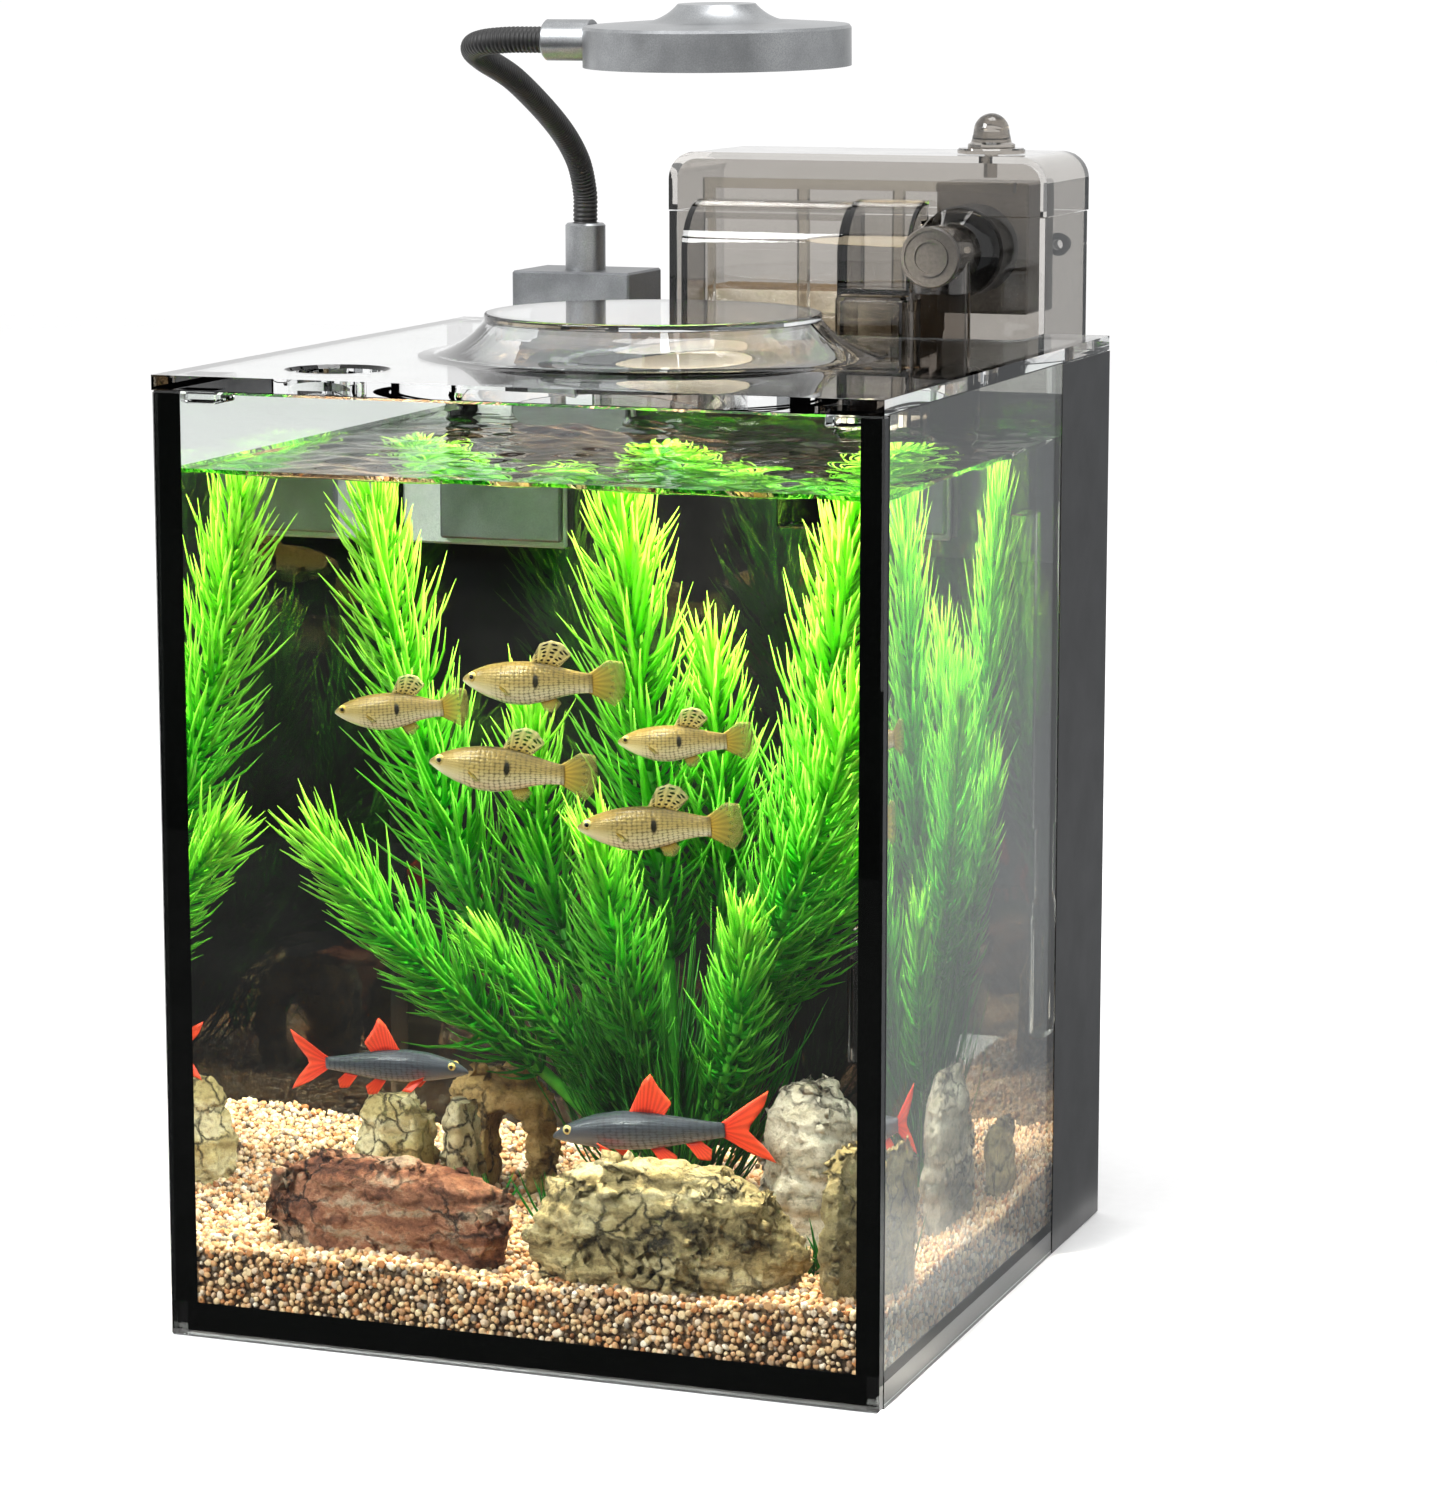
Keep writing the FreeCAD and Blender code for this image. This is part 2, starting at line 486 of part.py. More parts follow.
def make_lamp():
    turned("lower_ferrule", [
        ("0", "-spigot_length"), ("spigot_radius", "-spigot_length"), ("spigot_radius", "0"), ("ferrule_radius", "0"),
        ("ferrule_radius", "ferrule_rise - arris"), ("ferrule_radius - arris", "ferrule_rise"),
        ("hose_socket", "ferrule_rise"), ("hose_socket", "ferrule_rise - 5"), ("0", "ferrule_rise - 5"),
    ], place=(NECK_FOOT[0], NECK_FOOT[1], CLAMP_TOP))

    # The hose rises, leans forward over the tank, then sweeps round to the right into the head.
    foot = V(*(size(t) for t in NECK_FOOT))
    end = V(*(size(t) for t in NECK_END))
    ahead, up = foot.y - end.y, end.z - foot.z
    corner = V(foot.x, end.y + 1, end.z - 0.5)
    route = [foot, V(foot.x, foot.y - 0.8, foot.z + 0.22 * up), V(foot.x, foot.y - 0.24 * ahead, foot.z + 0.51 * up),
             V(foot.x, foot.y - 0.55 * ahead, foot.z + 0.76 * up), corner, end]
    radii = [0.45 * (route[1] - foot).Length / math.tan(math.radians(28)), 60, 90, size("hose_bend")]
    path = hose_path(route, radii)
    profile = Part.Wire([Part.Circle(foot, route[1] - foot, size("hose_radius")).toShape()])
    sweep = Part.BRepOffsetAPI.MakePipeShell(path)
    sweep.add(profile)
    sweep.build()
    sweep.makeSolid()
    tube = sweep.shape()
    for centre in (foot, end):
        tube = tube.fuse(Part.makeSphere(size("hose_radius"), centre))
    computed("gooseneck", tube)

    blank = turned("head_ferrule_blank", [
        ("hose_socket", "0"), ("head_ferrule_radius - arris", "0"), ("head_ferrule_radius", "arris"),
        ("head_ferrule_radius", "head_ferrule_length + 2"), ("0", "head_ferrule_length + 2"), ("0", "5"),
        ("hose_socket", "5"),
    ], place=("head_x - head_radius - head_ferrule_length", NECK_END[1], NECK_END[2]), axis="x")
    place = ("head_x", "head_y", "head_z")
    shadow = turned("head_outside", [("0", "-5"), ("head_radius", "-5"), ("head_radius", "30"), ("0", "30")],
                    place=place, lean="head_lean")
    cut("head_ferrule", blank, [shadow])
    rim_top = "head_side + 0.3"
    foot_z = "head_side + 1.2"
    dome_z = "(head_side + dome_rise)"
    turned("lamp_shell", [
        ("head_radius - head_wall", "0"), ("head_radius", "0"), ("head_radius", "head_side - 0.5"),
        ("head_radius - 0.6", rim_top), ("dome_foot", foot_z, "-dome_flare"), ("dome_top", dome_z), ("0", dome_z),
        ("0", f"{dome_z} - head_wall"), ("dome_top - 0.5", f"{dome_z} - head_wall", "dome_flare + head_wall"),
        ("dome_foot - 0.5", f"{foot_z} - head_wall"), ("head_radius - head_wall", f"{rim_top} - head_wall - 0.4"),
    ], place=place, lean="head_lean")
    board = turned("board_disc", [
        ("0", "board_up"), ("board_radius", "board_up"), ("board_radius", "board_up + board_sheet"),
        ("0", "board_up + board_sheet"),
    ], place=place, lean="head_lean")
    lean = FreeCAD.Rotation(V(1, 0, 0), size("head_lean"))
    centre = V(*(size(t) for t in place))
    half = size("chip_side / 2")
    chips = []
    for i in range(int(size("chip_count"))):
        chip = Part.makeBox(2 * half, 2 * half, size("chip_rise"), V(-half, -half, size("board_up - chip_rise")))
        chip.translate(V(size("chip_circle"), 0, 0))
        chip.rotate(V(0, 0, 0), V(0, 0, 1), 360 * i / size("chip_count"))
        chip.Placement = FreeCAD.Placement(centre, lean).multiply(chip.Placement)
        chips.append(computed(f"led_chip_{i + 1}", chip))
    joined("led_board", [board] + chips)
    lens_radius = "head_radius - head_wall - lens_fit"
    turned("diffuser", [
        ("0", "lens_up"), (f"{lens_radius} - 0.4", "lens_up"), (lens_radius, "lens_up + 0.4"),
        (lens_radius, "lens_up + lens_sheet"), ("0", "lens_up + lens_sheet"),
    ], place=place, lean="head_lean")


# ---- filter --------------------------------------------------------------------------------------------------------


def tub_outline(left, right, low, high, radius, upside):
    """An outline in X and Z with its two upper (upside) or two lower corners rounded."""
    if upside:
        return [(left, low), (right, low), (right, f"{high} - ({radius})", radius),
                (f"{right} - ({radius})", high), (f"{left} + ({radius})", high, radius), (left, f"{high} - ({radius})")]
    return [(f"{left} + ({radius})", low), (f"{right} - ({radius})", low, radius), (right, f"{low} + ({radius})"),
            (right, high), (left, high), (left, f"{low} + ({radius})", radius)]


def spout_outline(proud, low_leg, low_floor, reach_back):
    """Side outline of the curved spout or hood, stepped over the rim where it has a leg inside the tank."""
    front = f"{CASE_FRONT} - spout_reach + ({proud})"
    round_off = [(reach_back, f"spout_top - ({proud})", f"spout_round - ({proud})"), (front, "spout_shoulder")]
    if low_leg is None:
        return [(front, low_floor), (reach_back, low_floor)] + round_off
    leg_back = f"{CASE_FRONT} - spout_reach + spout_leg - ({proud})"
    return [(front, low_leg), (leg_back, low_leg), (leg_back, low_floor), (reach_back, low_floor)] + round_off


def make_filter_body():
    outer = bar("case_blank", tub_outline("case_left", "case_right", "case_bottom", "case_top", "case_corner", False),
                (CASE_FRONT, CASE_BACK))
    inner = bar("case_inside", tub_outline("(case_left + case_wall)", "(case_right - case_wall)",
                                           "(case_bottom + case_wall)", "(case_top + 1)", "case_corner - case_wall",
                                           False), (f"{CASE_FRONT} + case_wall", f"{CASE_BACK} - case_wall"))
    through = (f"{CASE_FRONT} - 1", f"{CASE_FRONT} + case_wall + 1")
    window = block("case_window", ("spout_left + spout_wall", "spout_right - spout_wall"), through,
                   ("window_bottom", "case_top - 2"))
    inlet = rod("case_inlet", "elbow_radius - elbow_wall", "case_wall + 2",
                ("intake_x", f"{CASE_FRONT} - 1", "intake_z"), "y")
    cable = rod("case_cable_hole", "gland_bore", "case_wall + 2",
                ("case_right - 10", f"{CASE_BACK} - case_wall - 1", "intake_z"), "y")
    cut("filter_case", outer, [inner, window, inlet, cable])

    cover_low = "(case_top + cover_fit)"
    cover_top = "(case_top + cover_fit + cover_rise)"
    shell = bar("cover_blank", tub_outline("(case_left - cover_fit)", "(case_right + cover_fit)", cover_low, cover_top,
                                           "case_corner", True), (f"{CASE_FRONT} + cover_fit",
                                                                  f"{CASE_BACK} + cover_fit"))
    hollow = bar("cover_inside", tub_outline("(case_left + case_wall)", "(case_right - case_wall)",
                                             f"({cover_low} - 1)", f"({cover_top} - case_wall)",
                                             "case_corner - case_wall", True),
                 (f"{CASE_FRONT} + case_wall + cover_fit", f"{CASE_BACK} - case_wall"))
    stem_hole = rod("cover_stem_hole", "stem_radius + stem_fit", "case_wall + 2",
                    ("knob_x", "knob_y", f"{cover_top} - case_wall - 1"))
    cut("filter_cover", shell, [hollow, stem_hole])
    turned("flow_knob", [
        ("0", "-7"), ("stem_radius", "-7"), ("stem_radius", "0"), ("flange_radius", "0"), ("flange_radius", "1"),
        ("flange_radius - 0.5", "1.5"), ("dome_radius + 1", "1.5"), ("dome_radius + 1", "2.6"),
        ("dome_radius", "3.2"), ("dome_radius - 0.7", "dome_height - dome_radius + 0.7", "dome_radius - 0.7"),
        ("0", "dome_height"),
    ], place=("knob_x", "knob_y", f"{cover_top} + cover_fit"))

    spout = padded("spout_blank", "YZ_Plane", spout_outline("0", "spout_bottom", "tank_height", CASE_FRONT),
                   "spout_right - spout_left", offset="spout_left")
    channel = padded("spout_inside", "YZ_Plane", spout_outline("spout_wall", "(spout_bottom - 1)",
                                                               "(tank_height + spout_wall)", f"({CASE_FRONT} + 1)"),
                     "spout_right - spout_left - 2 * spout_wall", offset="spout_left + spout_wall")
    cut("spout", spout, [channel])
    hood = padded("hood_blank", "YZ_Plane", spout_outline("-hood_proud", None, "hood_bottom", CASE_FRONT),
                  "hood_right - hood_left", offset="hood_left")
    hood_room = padded("hood_inside", "YZ_Plane",
                       spout_outline("spout_wall - hood_proud", None, "(hood_bottom + spout_wall)",
                                     f"({CASE_FRONT} + 1)"),
                       "hood_right - hood_left - 2 * spout_wall", offset="hood_left + spout_wall")
    flange_room = rod("hood_flange_room", "elbow_flange + cover_fit", "elbow_flange_length + 2",
                      ("intake_x", f"{CASE_FRONT} - elbow_flange_length - 1", "intake_z"), "y")
    cut("valve_hood", hood, [hood_room, flange_room])
    turned("filter_gland", [
        ("gland_bore", "0"), ("gland_radius", "0"), ("gland_radius - arris", "gland_length"),
        ("gland_bore", "gland_length"),
    ], place=("case_right - 10", CASE_BACK, "intake_z"), axis="y")
    turned("rest_foot", [
        ("0", "0"), ("rest_radius - arris", "0"), ("rest_radius", "arris"), ("rest_radius", "case_gap"),
        ("0", "case_gap"),
    ], place=("(case_left + case_right) / 2", f"{BACK} + back_film", "rest_height"), axis="y")


def make_intake():
    bore = "elbow_radius - elbow_wall"
    run = rod("elbow_run", "elbow_radius", f"{CASE_FRONT} - elbow_front", ("intake_x", "elbow_front", "intake_z"), "y")
    # The drop is a little slimmer than the run, as a mould's joint between two barrels is.
    drop = rod("elbow_drop", "elbow_radius - drop_step", "intake_z - tube_top", ("intake_x", "intake_y", "tube_top"))
    flange = DOC.addObject("Part::Cone", "elbow_flare")
    bind(flange, Radius1="elbow_radius", Radius2="elbow_flange", Height="elbow_flange_length")
    flange.Placement.Rotation = FreeCAD.Rotation(*TURNS["y"])
    bind(flange, Placement__Base__x="intake_x", Placement__Base__y=f"{CASE_FRONT} - elbow_flange_length",
         Placement__Base__z="intake_z")
    outside = joined("elbow_outside", [run, drop, flange])
    run_bore = rod("elbow_run_bore", bore, f"{CASE_FRONT} - elbow_front", ("intake_x", "elbow_front - 0.5", "intake_z"),
                   "y")
    end_bore = rod("elbow_end_bore", bore, "elbow_flange_length",
                   ("intake_x", f"{CASE_FRONT} - elbow_flange_length + 1", "intake_z"), "y")
    drop_bore = rod("elbow_drop_bore", f"{bore} - drop_step", "intake_z - tube_top + 1",
                    ("intake_x", "intake_y", "tube_top - 1"))
    cut("intake_elbow", outside, [run_bore, end_bore, drop_bore])
    # The end cap's face carries two raised rings.
    turned("elbow_cap", [
        ("0", "-cap_sheet"), ("cap_ring - 1", "-cap_sheet"), ("cap_ring - 1", "-cap_sheet - 0.5"),
        ("cap_ring", "-cap_sheet - 0.5"), ("cap_ring", "-cap_sheet"), ("elbow_radius - 1.2", "-cap_sheet"),
        ("elbow_radius - 1.2", "-cap_sheet - 0.4"), ("elbow_radius - 0.4", "-cap_sheet - 0.4"),
        ("elbow_radius", "-cap_sheet"), ("elbow_radius", "0"), (bore, "0"), (bore, "1.5"), ("0", "1.5"),
    ], place=("intake_x", "elbow_front", "intake_z"), axis="y")
    turned("intake_tube", [
        (bore, "tube_bottom"), ("elbow_radius - 0.1", "tube_bottom"), ("elbow_radius - 0.1", "tube_top"),
        (bore, "tube_top"),
    ], place=("intake_x", "intake_y", "0"))
    inner = f"({bore} - inner_tube_fit)"
    turned("inner_tube", [
        (f"{inner} - inner_tube_wall", "inner_tube_bottom"), (inner, "inner_tube_bottom"), (inner, "inner_tube_top"),
        (f"{inner} - inner_tube_wall", "inner_tube_top"),
    ], place=("intake_x", "intake_y", "0"))
    cage = turned("strainer_blank", [
        ("0", "strainer_bottom"), ("strainer_radius - 1", "strainer_bottom"),
        ("strainer_radius", "strainer_bottom + 1"), ("strainer_radius", "strainer_top - 1"),
        ("strainer_radius - 1", "strainer_top"), (inner, "strainer_top"), (inner, "inner_tube_bottom"),
        ("strainer_radius - strainer_wall", "inner_tube_bottom - 1"),
        ("strainer_radius - strainer_wall", "strainer_bottom + strainer_wall"),
        ("0", "strainer_bottom + strainer_wall"),
    ], place=("intake_x", "intake_y", "0"))
    slots = []
    for i in range(int(size("slot_count"))):
        slot = block(f"strainer_slot_{i + 1}", ("2", "strainer_radius + 2"), ("-slot_width / 2", "slot_width / 2"),
                     ("strainer_bottom + slot_margin", "inner_tube_bottom - slot_margin"))
        turn = FreeCAD.Rotation(V(0, 0, 1), 360 * i / size("slot_count"))
        slot.Placement.Rotation = turn
        bind(slot, Placement__Base__x=f"intake_x + 2 * cos({360 * i} / slot_count) + slot_width / 2 * "
                                      f"sin({360 * i} / slot_count)",
             Placement__Base__y=f"intake_y + 2 * sin({360 * i} / slot_count) - slot_width / 2 * "
                                f"cos({360 * i} / slot_count)")
        slots.append(slot)
    cut("strainer", cage, slots)


def make_skimmer():
    right = "(intake_x - elbow_radius - skimmer_gap)"
    left = f"({right} - skimmer_width)"
    back = "(skimmer_front + skimmer_depth)"
    outer = plate("skimmer_blank", (left, right), ("skimmer_front", back), ("skimmer_bottom", "skimmer_top"), "arris")
    room = block("skimmer_room", (f"{left} + skimmer_wall", f"{right} - skimmer_wall"),
                 ("skimmer_front + skimmer_wall", f"{back} - skimmer_wall"),
                 ("skimmer_bottom - 1", "skimmer_top - skimmer_wall"))
    slots = []
    pitch = "(skimmer_width - 2 * skimmer_wall) / skimmer_slots"
    for i in range(int(size("skimmer_slots"))):
        middle = f"{left} + skimmer_wall + ({i} + 0.5) * {pitch}"
        slots.append(block(f"skimmer_slot_{i + 1}", (f"{middle} - slot_width / 2", f"{middle} + slot_width / 2"),
                           ("skimmer_front - 1", "skimmer_front + skimmer_wall + 0.5"),
                           ("water_level - skimmer_slot_tall / 2", "water_level + skimmer_slot_tall / 2")))
    cut("skimmer_box", outer, [room] + slots)
    inset = "skimmer_wall + float_fit"
    plate("skimmer_float", (f"{left} + {inset}", f"{right} - ({inset})"),
          (f"skimmer_front + {inset}", f"{back} - ({inset})"),
          ("water_level - 0.7 * float_tall", "water_level + 0.3 * float_tall"), "arris")


def make_filter_inside():
    housing_front = f"({CASE_FRONT} + case_wall + 0.7)"
    room = "rotor_housing - rotor_wall"
    turned("rotor_housing_cup", [
        ("elbow_radius - elbow_wall", "0"), ("rotor_housing", "0"), ("rotor_housing", "rotor_length"),
        (room, "rotor_length"), (room, "rotor_wall"), ("elbow_radius - elbow_wall", "rotor_wall"),
    ], place=("intake_x", housing_front, "intake_z"), axis="y")
    DOC.recompute()
    outlet = block("rotor_outlet", ("intake_x - rotor_housing - 1", "intake_x - rotor_housing * 0.5"),
                   (f"{housing_front} + rotor_wall * 2", f"{housing_front} + rotor_length + 1"),
                   ("intake_z - 5", "intake_z + 5"))
    cut("rotor_housing", DOC.getObject("rotor_housing_cup"), [outlet])
    blade_front = f"({housing_front} + rotor_wall + 1)"
    hub = rod("rotor_hub_rod", "rotor_hub", "blade_length", ("intake_x", blade_front, "intake_z"), "y")
    magnet = rod("rotor_magnet", "magnet_radius", "magnet_length",
                 ("intake_x", f"{blade_front} + blade_length", "intake_z"), "y")
    centre = V(size("intake_x"), size(blade_front), size("intake_z"))
    blades = []
    for i in range(int(size("rotor_blades"))):
        blade = Part.makeBox(size("rotor_tip - rotor_hub + 1"), size("blade_length"), size("rotor_blade"),
                             V(size("rotor_hub - 1"), 0, -size("rotor_blade") / 2))
        blade.rotate(V(0, 0, 0), V(0, 1, 0), 360 * i / size("rotor_blades"))
        blade.translate(centre)
        blades.append(computed(f"rotor_blade_{i + 1}", blade))
    rotor = joined("rotor_blank", [hub, magnet] + blades)
    bore = rod("rotor_bore", "shaft_radius + shaft_fit", "blade_length + magnet_length + 2",
               ("intake_x", f"{blade_front} - 1", "intake_z"), "y")
    cut("impeller", rotor, [bore])
    motor_front = f"({housing_front} + rotor_length)"
    rod("impeller_shaft", "shaft_radius", "blade_length + magnet_length + 1.5",
        ("intake_x", f"{blade_front} - 0.5", "intake_z"), "y")
    half = "motor_width / 2"
    coil = plate("motor_blank", (f"intake_x - {half} + 2", f"intake_x + {half} + 2"),
                 (motor_front, f"{motor_front} + motor_depth"),
                 ("intake_z - motor_tall / 2", "intake_z + motor_tall / 2"), "arris")
    well = rod("motor_well", "magnet_radius + well_fit", f"{blade_front} + blade_length + magnet_length + 0.5 - "
                                                         f"{motor_front} + 1",
               ("intake_x", f"{motor_front} - 1", "intake_z"), "y")
    pin_hole = rod("motor_pin_hole", "shaft_radius", "2",
                   ("intake_x", f"{blade_front} + blade_length + magnet_length - 1", "intake_z"), "y")
    cut("motor_block", coil, [well, pin_hole])

    # The cartridge frame stands just behind the case's front wall and holds the floss pad.
    face = f"({CASE_FRONT} + case_wall + 2)"
    depth = (face, f"{face} + frame_sheet")
    panel = block("frame_panel", ("frame_left", "frame_right"), depth, ("frame_bottom", "frame_top"))
    top_bar = block("frame_top_bar", ("frame_left", "frame_bar_right"), depth, ("frame_top - frame_rib", "frame_top"))
    middle = "(frame_left + frame_right) / 2"
    openings = []
    for i, (low, high) in enumerate((("frame_left + frame_rib", f"{middle} - frame_rib / 2"),
                                     (f"{middle} + frame_rib / 2", "frame_right - frame_rib"))):
        openings.append(block(f"frame_opening_{i + 1}", (low, high), (f"{face} - 1", f"{face} + frame_sheet + 1"),
                              ("frame_bottom + frame_rib", "frame_top - frame_rib")))
    cut("media_frame", joined("frame_blank", [panel, top_bar]), openings)
    floss_y = (f"{face} + frame_sheet", f"{face} + 2 * frame_sheet")
    plate("floss_pad", ("frame_left", "frame_right"), floss_y, ("frame_bottom", "media_top"))
    plate("bio_sponge", ("case_left + case_wall + 2", "frame_right + 2"),
          (f"{floss_y[1]} + media_gap", f"{CASE_BACK} - case_wall - 1"), ("case_bottom + case_wall + 2", "media_top"))


# ---- contents ------------------------------------------------------------------------------------------------------


def laid_out(x, y, z=0.0):
    """A place of the layout, carried over to this tank's sizes."""
    return V(x * size("tank_width") / LAYOUT_WIDTH, y * size("tank_depth") / LAYOUT_DEPTH,
             z * size("tank_height") / LAYOUT_HEIGHT)


def stone(label, middle, turn, corners, phase):
    """A rough stone: irregular rings, widest a third of the way up, joined by flat faces."""
    length, depth, height = (size(f"{label}_{measure}") for measure in ("length", "depth", "height"))
    rings = []
    for level, spread in ((0.0, 0.9), (0.35, 1.0), (0.8, 0.86), (1.0, 0.5)):
        points = []
        for i in range(corners):
            angle = 2 * math.pi * i / corners
            reach = spread * (1 - 0.09 * (1 + math.sin(2.7 * i + phase + 5 * level))) / 2
            points.append(V(length * reach * math.cos(angle), depth * reach * math.sin(angle), height * level))
        rings.append(Part.makePolygon(points + points[:1]))
    thing = computed(label, Part.makeLoft(rings, True, True))
    foot = laid_out(*middle) + V(0, 0, size("gravel_top - stone_sunk"))
    thing.Placement = FreeCAD.Placement(foot, FreeCAD.Rotation(V(0, 0, 1), turn))
    return thing


def bed_outline(inset, corner):
    """A rectangle inside the panes with its corners cut off."""
    x = f"(tank_width / 2 - glass - {inset})"
    y = f"(tank_depth / 2 - glass - {inset})"
    return [(f"-{x} + {corner}", f"-{y}"), (f"{x} - {corner}", f"-{y}"), (x, f"-{y} + {corner}"),
            (x, f"{y} - {corner}"), (f"{x} - {corner}", y), (f"-{x} + {corner}", y), (f"-{x}", f"{y} - {corner}"),
            (f"-{x}", f"-{y} + {corner}")]


def make_contents():
    # The gravel stands on the base pane, steps out over the base seal and clears the seals in the corners.
    step = "(base_glass + base_bead + gravel_gap)"
    low = padded("gravel_low", "XY_Plane", bed_outline("(base_bead + gravel_gap)", "1"), f"{step} - base_glass + 1",
                 offset="base_glass")
    high = padded("gravel_high", "XY_Plane", bed_outline("gravel_gap", "(corner_bead + gravel_gap)"),
                  f"gravel_back - {step}", offset=step)
    near = "(tank_depth / 2 - glass)"
    slope = padded("gravel_slope", "YZ_Plane", [
        (f"-{near} - 1", "gravel_front"), (near, "gravel_back"), (near, "gravel_back + 9"),
        (f"-{near} - 1", "gravel_back + 9"),
    ], "tank_width", offset=LEFT)
    cut("gravel_blank", joined("gravel_whole", [low, high]), [slope])

    stones = {label: stone(label, *values[:4]) for label, values in STONES.items()}
    arch_x, arch_y = STONES["arch_stone"][0]
    gap_middle = laid_out(arch_x + 3, arch_y)
    floor = size("gravel_top - stone_sunk - 1")
    tall = size("arch_height")
    half = size("arch_width") / 2
    through = size("arch_stone_depth")
    doorway = Part.makeBox(2 * half, 2 * through, tall + 1, gap_middle + V(-half, -through, floor))
    vault = Part.makeCylinder(half, 2 * through, gap_middle + V(0, -through, floor + tall + 1), V(0, 1, 0))
    stones["arch_stone"].Shape = stones["arch_stone"].Shape.cut(doorway.fuse(vault))

    # The stones sit in hollows of the gravel, so the bed is cut round each of them.
    bed = DOC.getObject("gravel_blank")
    DOC.recompute()
    cut("gravel_bed", bed, list(stones.values()))

    foot = laid_out(*PLANT_FOOT) + V(0, 0, size("gravel_back"))
    root = Part.makeCylinder(size("plant_foot"), size("plant_foot_rise"), foot)
    root = root.makeChamfer(1, [edge for edge in root.Edges if edge.BoundBox.ZMin > foot.z + 1][:1])
    crown = foot + V(0, 0, size("plant_foot_rise") - 1)
    for label, (low_end, tip, _) in PLUMES.items():
        start, end = laid_out(*low_end), laid_out(*tip)
        way = start - crown
        root = root.fuse(Part.makeCylinder(size("stem_thick"), way.Length, crown, way))
        axis = (end - start).normalize()
        tall = (end - start).Length
        radius = size(label + "_radius")
        rings = []
        for along, spread in ((0.0, 0.25), (0.25, 0.85), (0.55, 1.0), (0.85, 0.62), (1.0, 0.08)):
            rings.append(Part.Wire([Part.Circle(start + axis * (tall * along), axis, radius * spread).toShape()]))
        computed(label, Part.makeLoft(rings, True, True))
    for label in PLUMES:
        root = root.cut(DOC.getObject(label).Shape)
    computed("plant_stems", root)


# ---- build and write -----------------------------------------------------------------------------------------------

make_tank()
make_lid()
make_clamp()
make_lamp()
make_filter_body()
make_intake()
make_skimmer()
make_filter_inside()
make_contents()
DOC.recompute()

NODES = [
    "base_pane", "front_pane", "back_pane", "left_pane", "right_pane", "corner_seals", "base_seal",
    "backing_film",
    "lid_plate", "lid_collar", "cover_disc", "locating_blocks",
    "clamp_body", "jaw_plate", "jaw_rubber", "clamp_pad", "clamp_screw", "lamp_gland",
    "lower_ferrule", "gooseneck", "head_ferrule", "lamp_shell", "led_board", "diffuser",
    "filter_case", "filter_cover", "flow_knob", "spout", "valve_hood", "filter_gland", "rest_foot",
    "intake_elbow", "elbow_cap", "intake_tube", "inner_tube", "strainer", "skimmer_box", "skimmer_float",
    "rotor_housing", "impeller", "impeller_shaft", "motor_block", "media_frame", "floss_pad", "bio_sponge",
    "gravel_bed", *STONES, "plant_stems", *PLUMES,
]

os.makedirs("parts", exist_ok=True)
failed = [o.Name for o in DOC.Objects if "Invalid" in o.State or "Error" in o.State]
if failed:
    raise RuntimeError("features that failed: " + ", ".join(failed))
for label in NODES:
    shape = DOC.getObject(label).Shape
    if shape.isNull() or not shape.isValid() or not shape.Solids:
        raise RuntimeError(label + " has no valid solid")
for label in NODES:
    DOC.getObject(label).Shape.exportStep(os.path.join("parts", label + ".step"))
print(len(NODES), "nodes written")
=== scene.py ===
import bpy
import bmesh
import math
import numpy as np
from mathutils import Matrix, Vector, noise


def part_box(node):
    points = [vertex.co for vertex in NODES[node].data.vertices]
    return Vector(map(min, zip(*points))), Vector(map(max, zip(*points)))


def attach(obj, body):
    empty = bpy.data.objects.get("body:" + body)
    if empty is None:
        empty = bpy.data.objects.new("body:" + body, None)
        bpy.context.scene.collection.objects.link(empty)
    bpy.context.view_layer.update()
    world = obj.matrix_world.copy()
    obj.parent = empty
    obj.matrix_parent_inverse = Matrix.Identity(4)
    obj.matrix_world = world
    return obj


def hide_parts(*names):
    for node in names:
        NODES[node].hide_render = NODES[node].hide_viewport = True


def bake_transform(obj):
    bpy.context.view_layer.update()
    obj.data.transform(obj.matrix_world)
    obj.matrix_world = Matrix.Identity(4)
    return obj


# Looks for the desk-top aquarium: the CAD frame carries the hard parts, and this script adds materials, the water,
# the gravel, the stones' surfaces, the plants, the fish, the ribbed hose, the studio and the camera.

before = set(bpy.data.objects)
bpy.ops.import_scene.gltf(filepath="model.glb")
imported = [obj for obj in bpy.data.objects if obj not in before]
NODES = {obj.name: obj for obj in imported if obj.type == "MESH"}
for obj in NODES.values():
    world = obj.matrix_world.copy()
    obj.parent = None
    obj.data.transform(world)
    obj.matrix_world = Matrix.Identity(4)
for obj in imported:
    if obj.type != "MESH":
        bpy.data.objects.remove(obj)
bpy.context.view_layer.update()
MM = 0.001
rng = np.random.default_rng(7)


def limits(node):
    """A CAD node's lowest and highest corners, in millimetres."""
    return [np.array(corner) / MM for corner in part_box(node)]


# ---- making materials ----------------------------------------------------------------------------------------------


def colour(text):
    """A hex sRGB colour as linear RGBA."""
    parts = [int(text[i:i + 2], 16) / 255 for i in (1, 3, 5)]
    return tuple(c / 12.92 if c <= 0.04045 else ((c + 0.055) / 1.055) ** 2.4 for c in parts) + (1.0,)


def per_metre(size_mm):
    """The texture scale that gives features of this size."""
    return 1000.0 / size_mm


def add(tree, kind, sockets=None, **settings):
    """Adds a shader node with its settings, and its sockets' values or links."""
    node = tree.nodes.new("ShaderNode" + kind)
    for name, value in settings.items():
        setattr(node, name, value)
    for name, value in (sockets or {}).items():
        socket = node.inputs[name]
        if isinstance(value, bpy.types.NodeSocket):
            tree.links.new(value, socket)
        else:
            socket.default_value = value
    return node


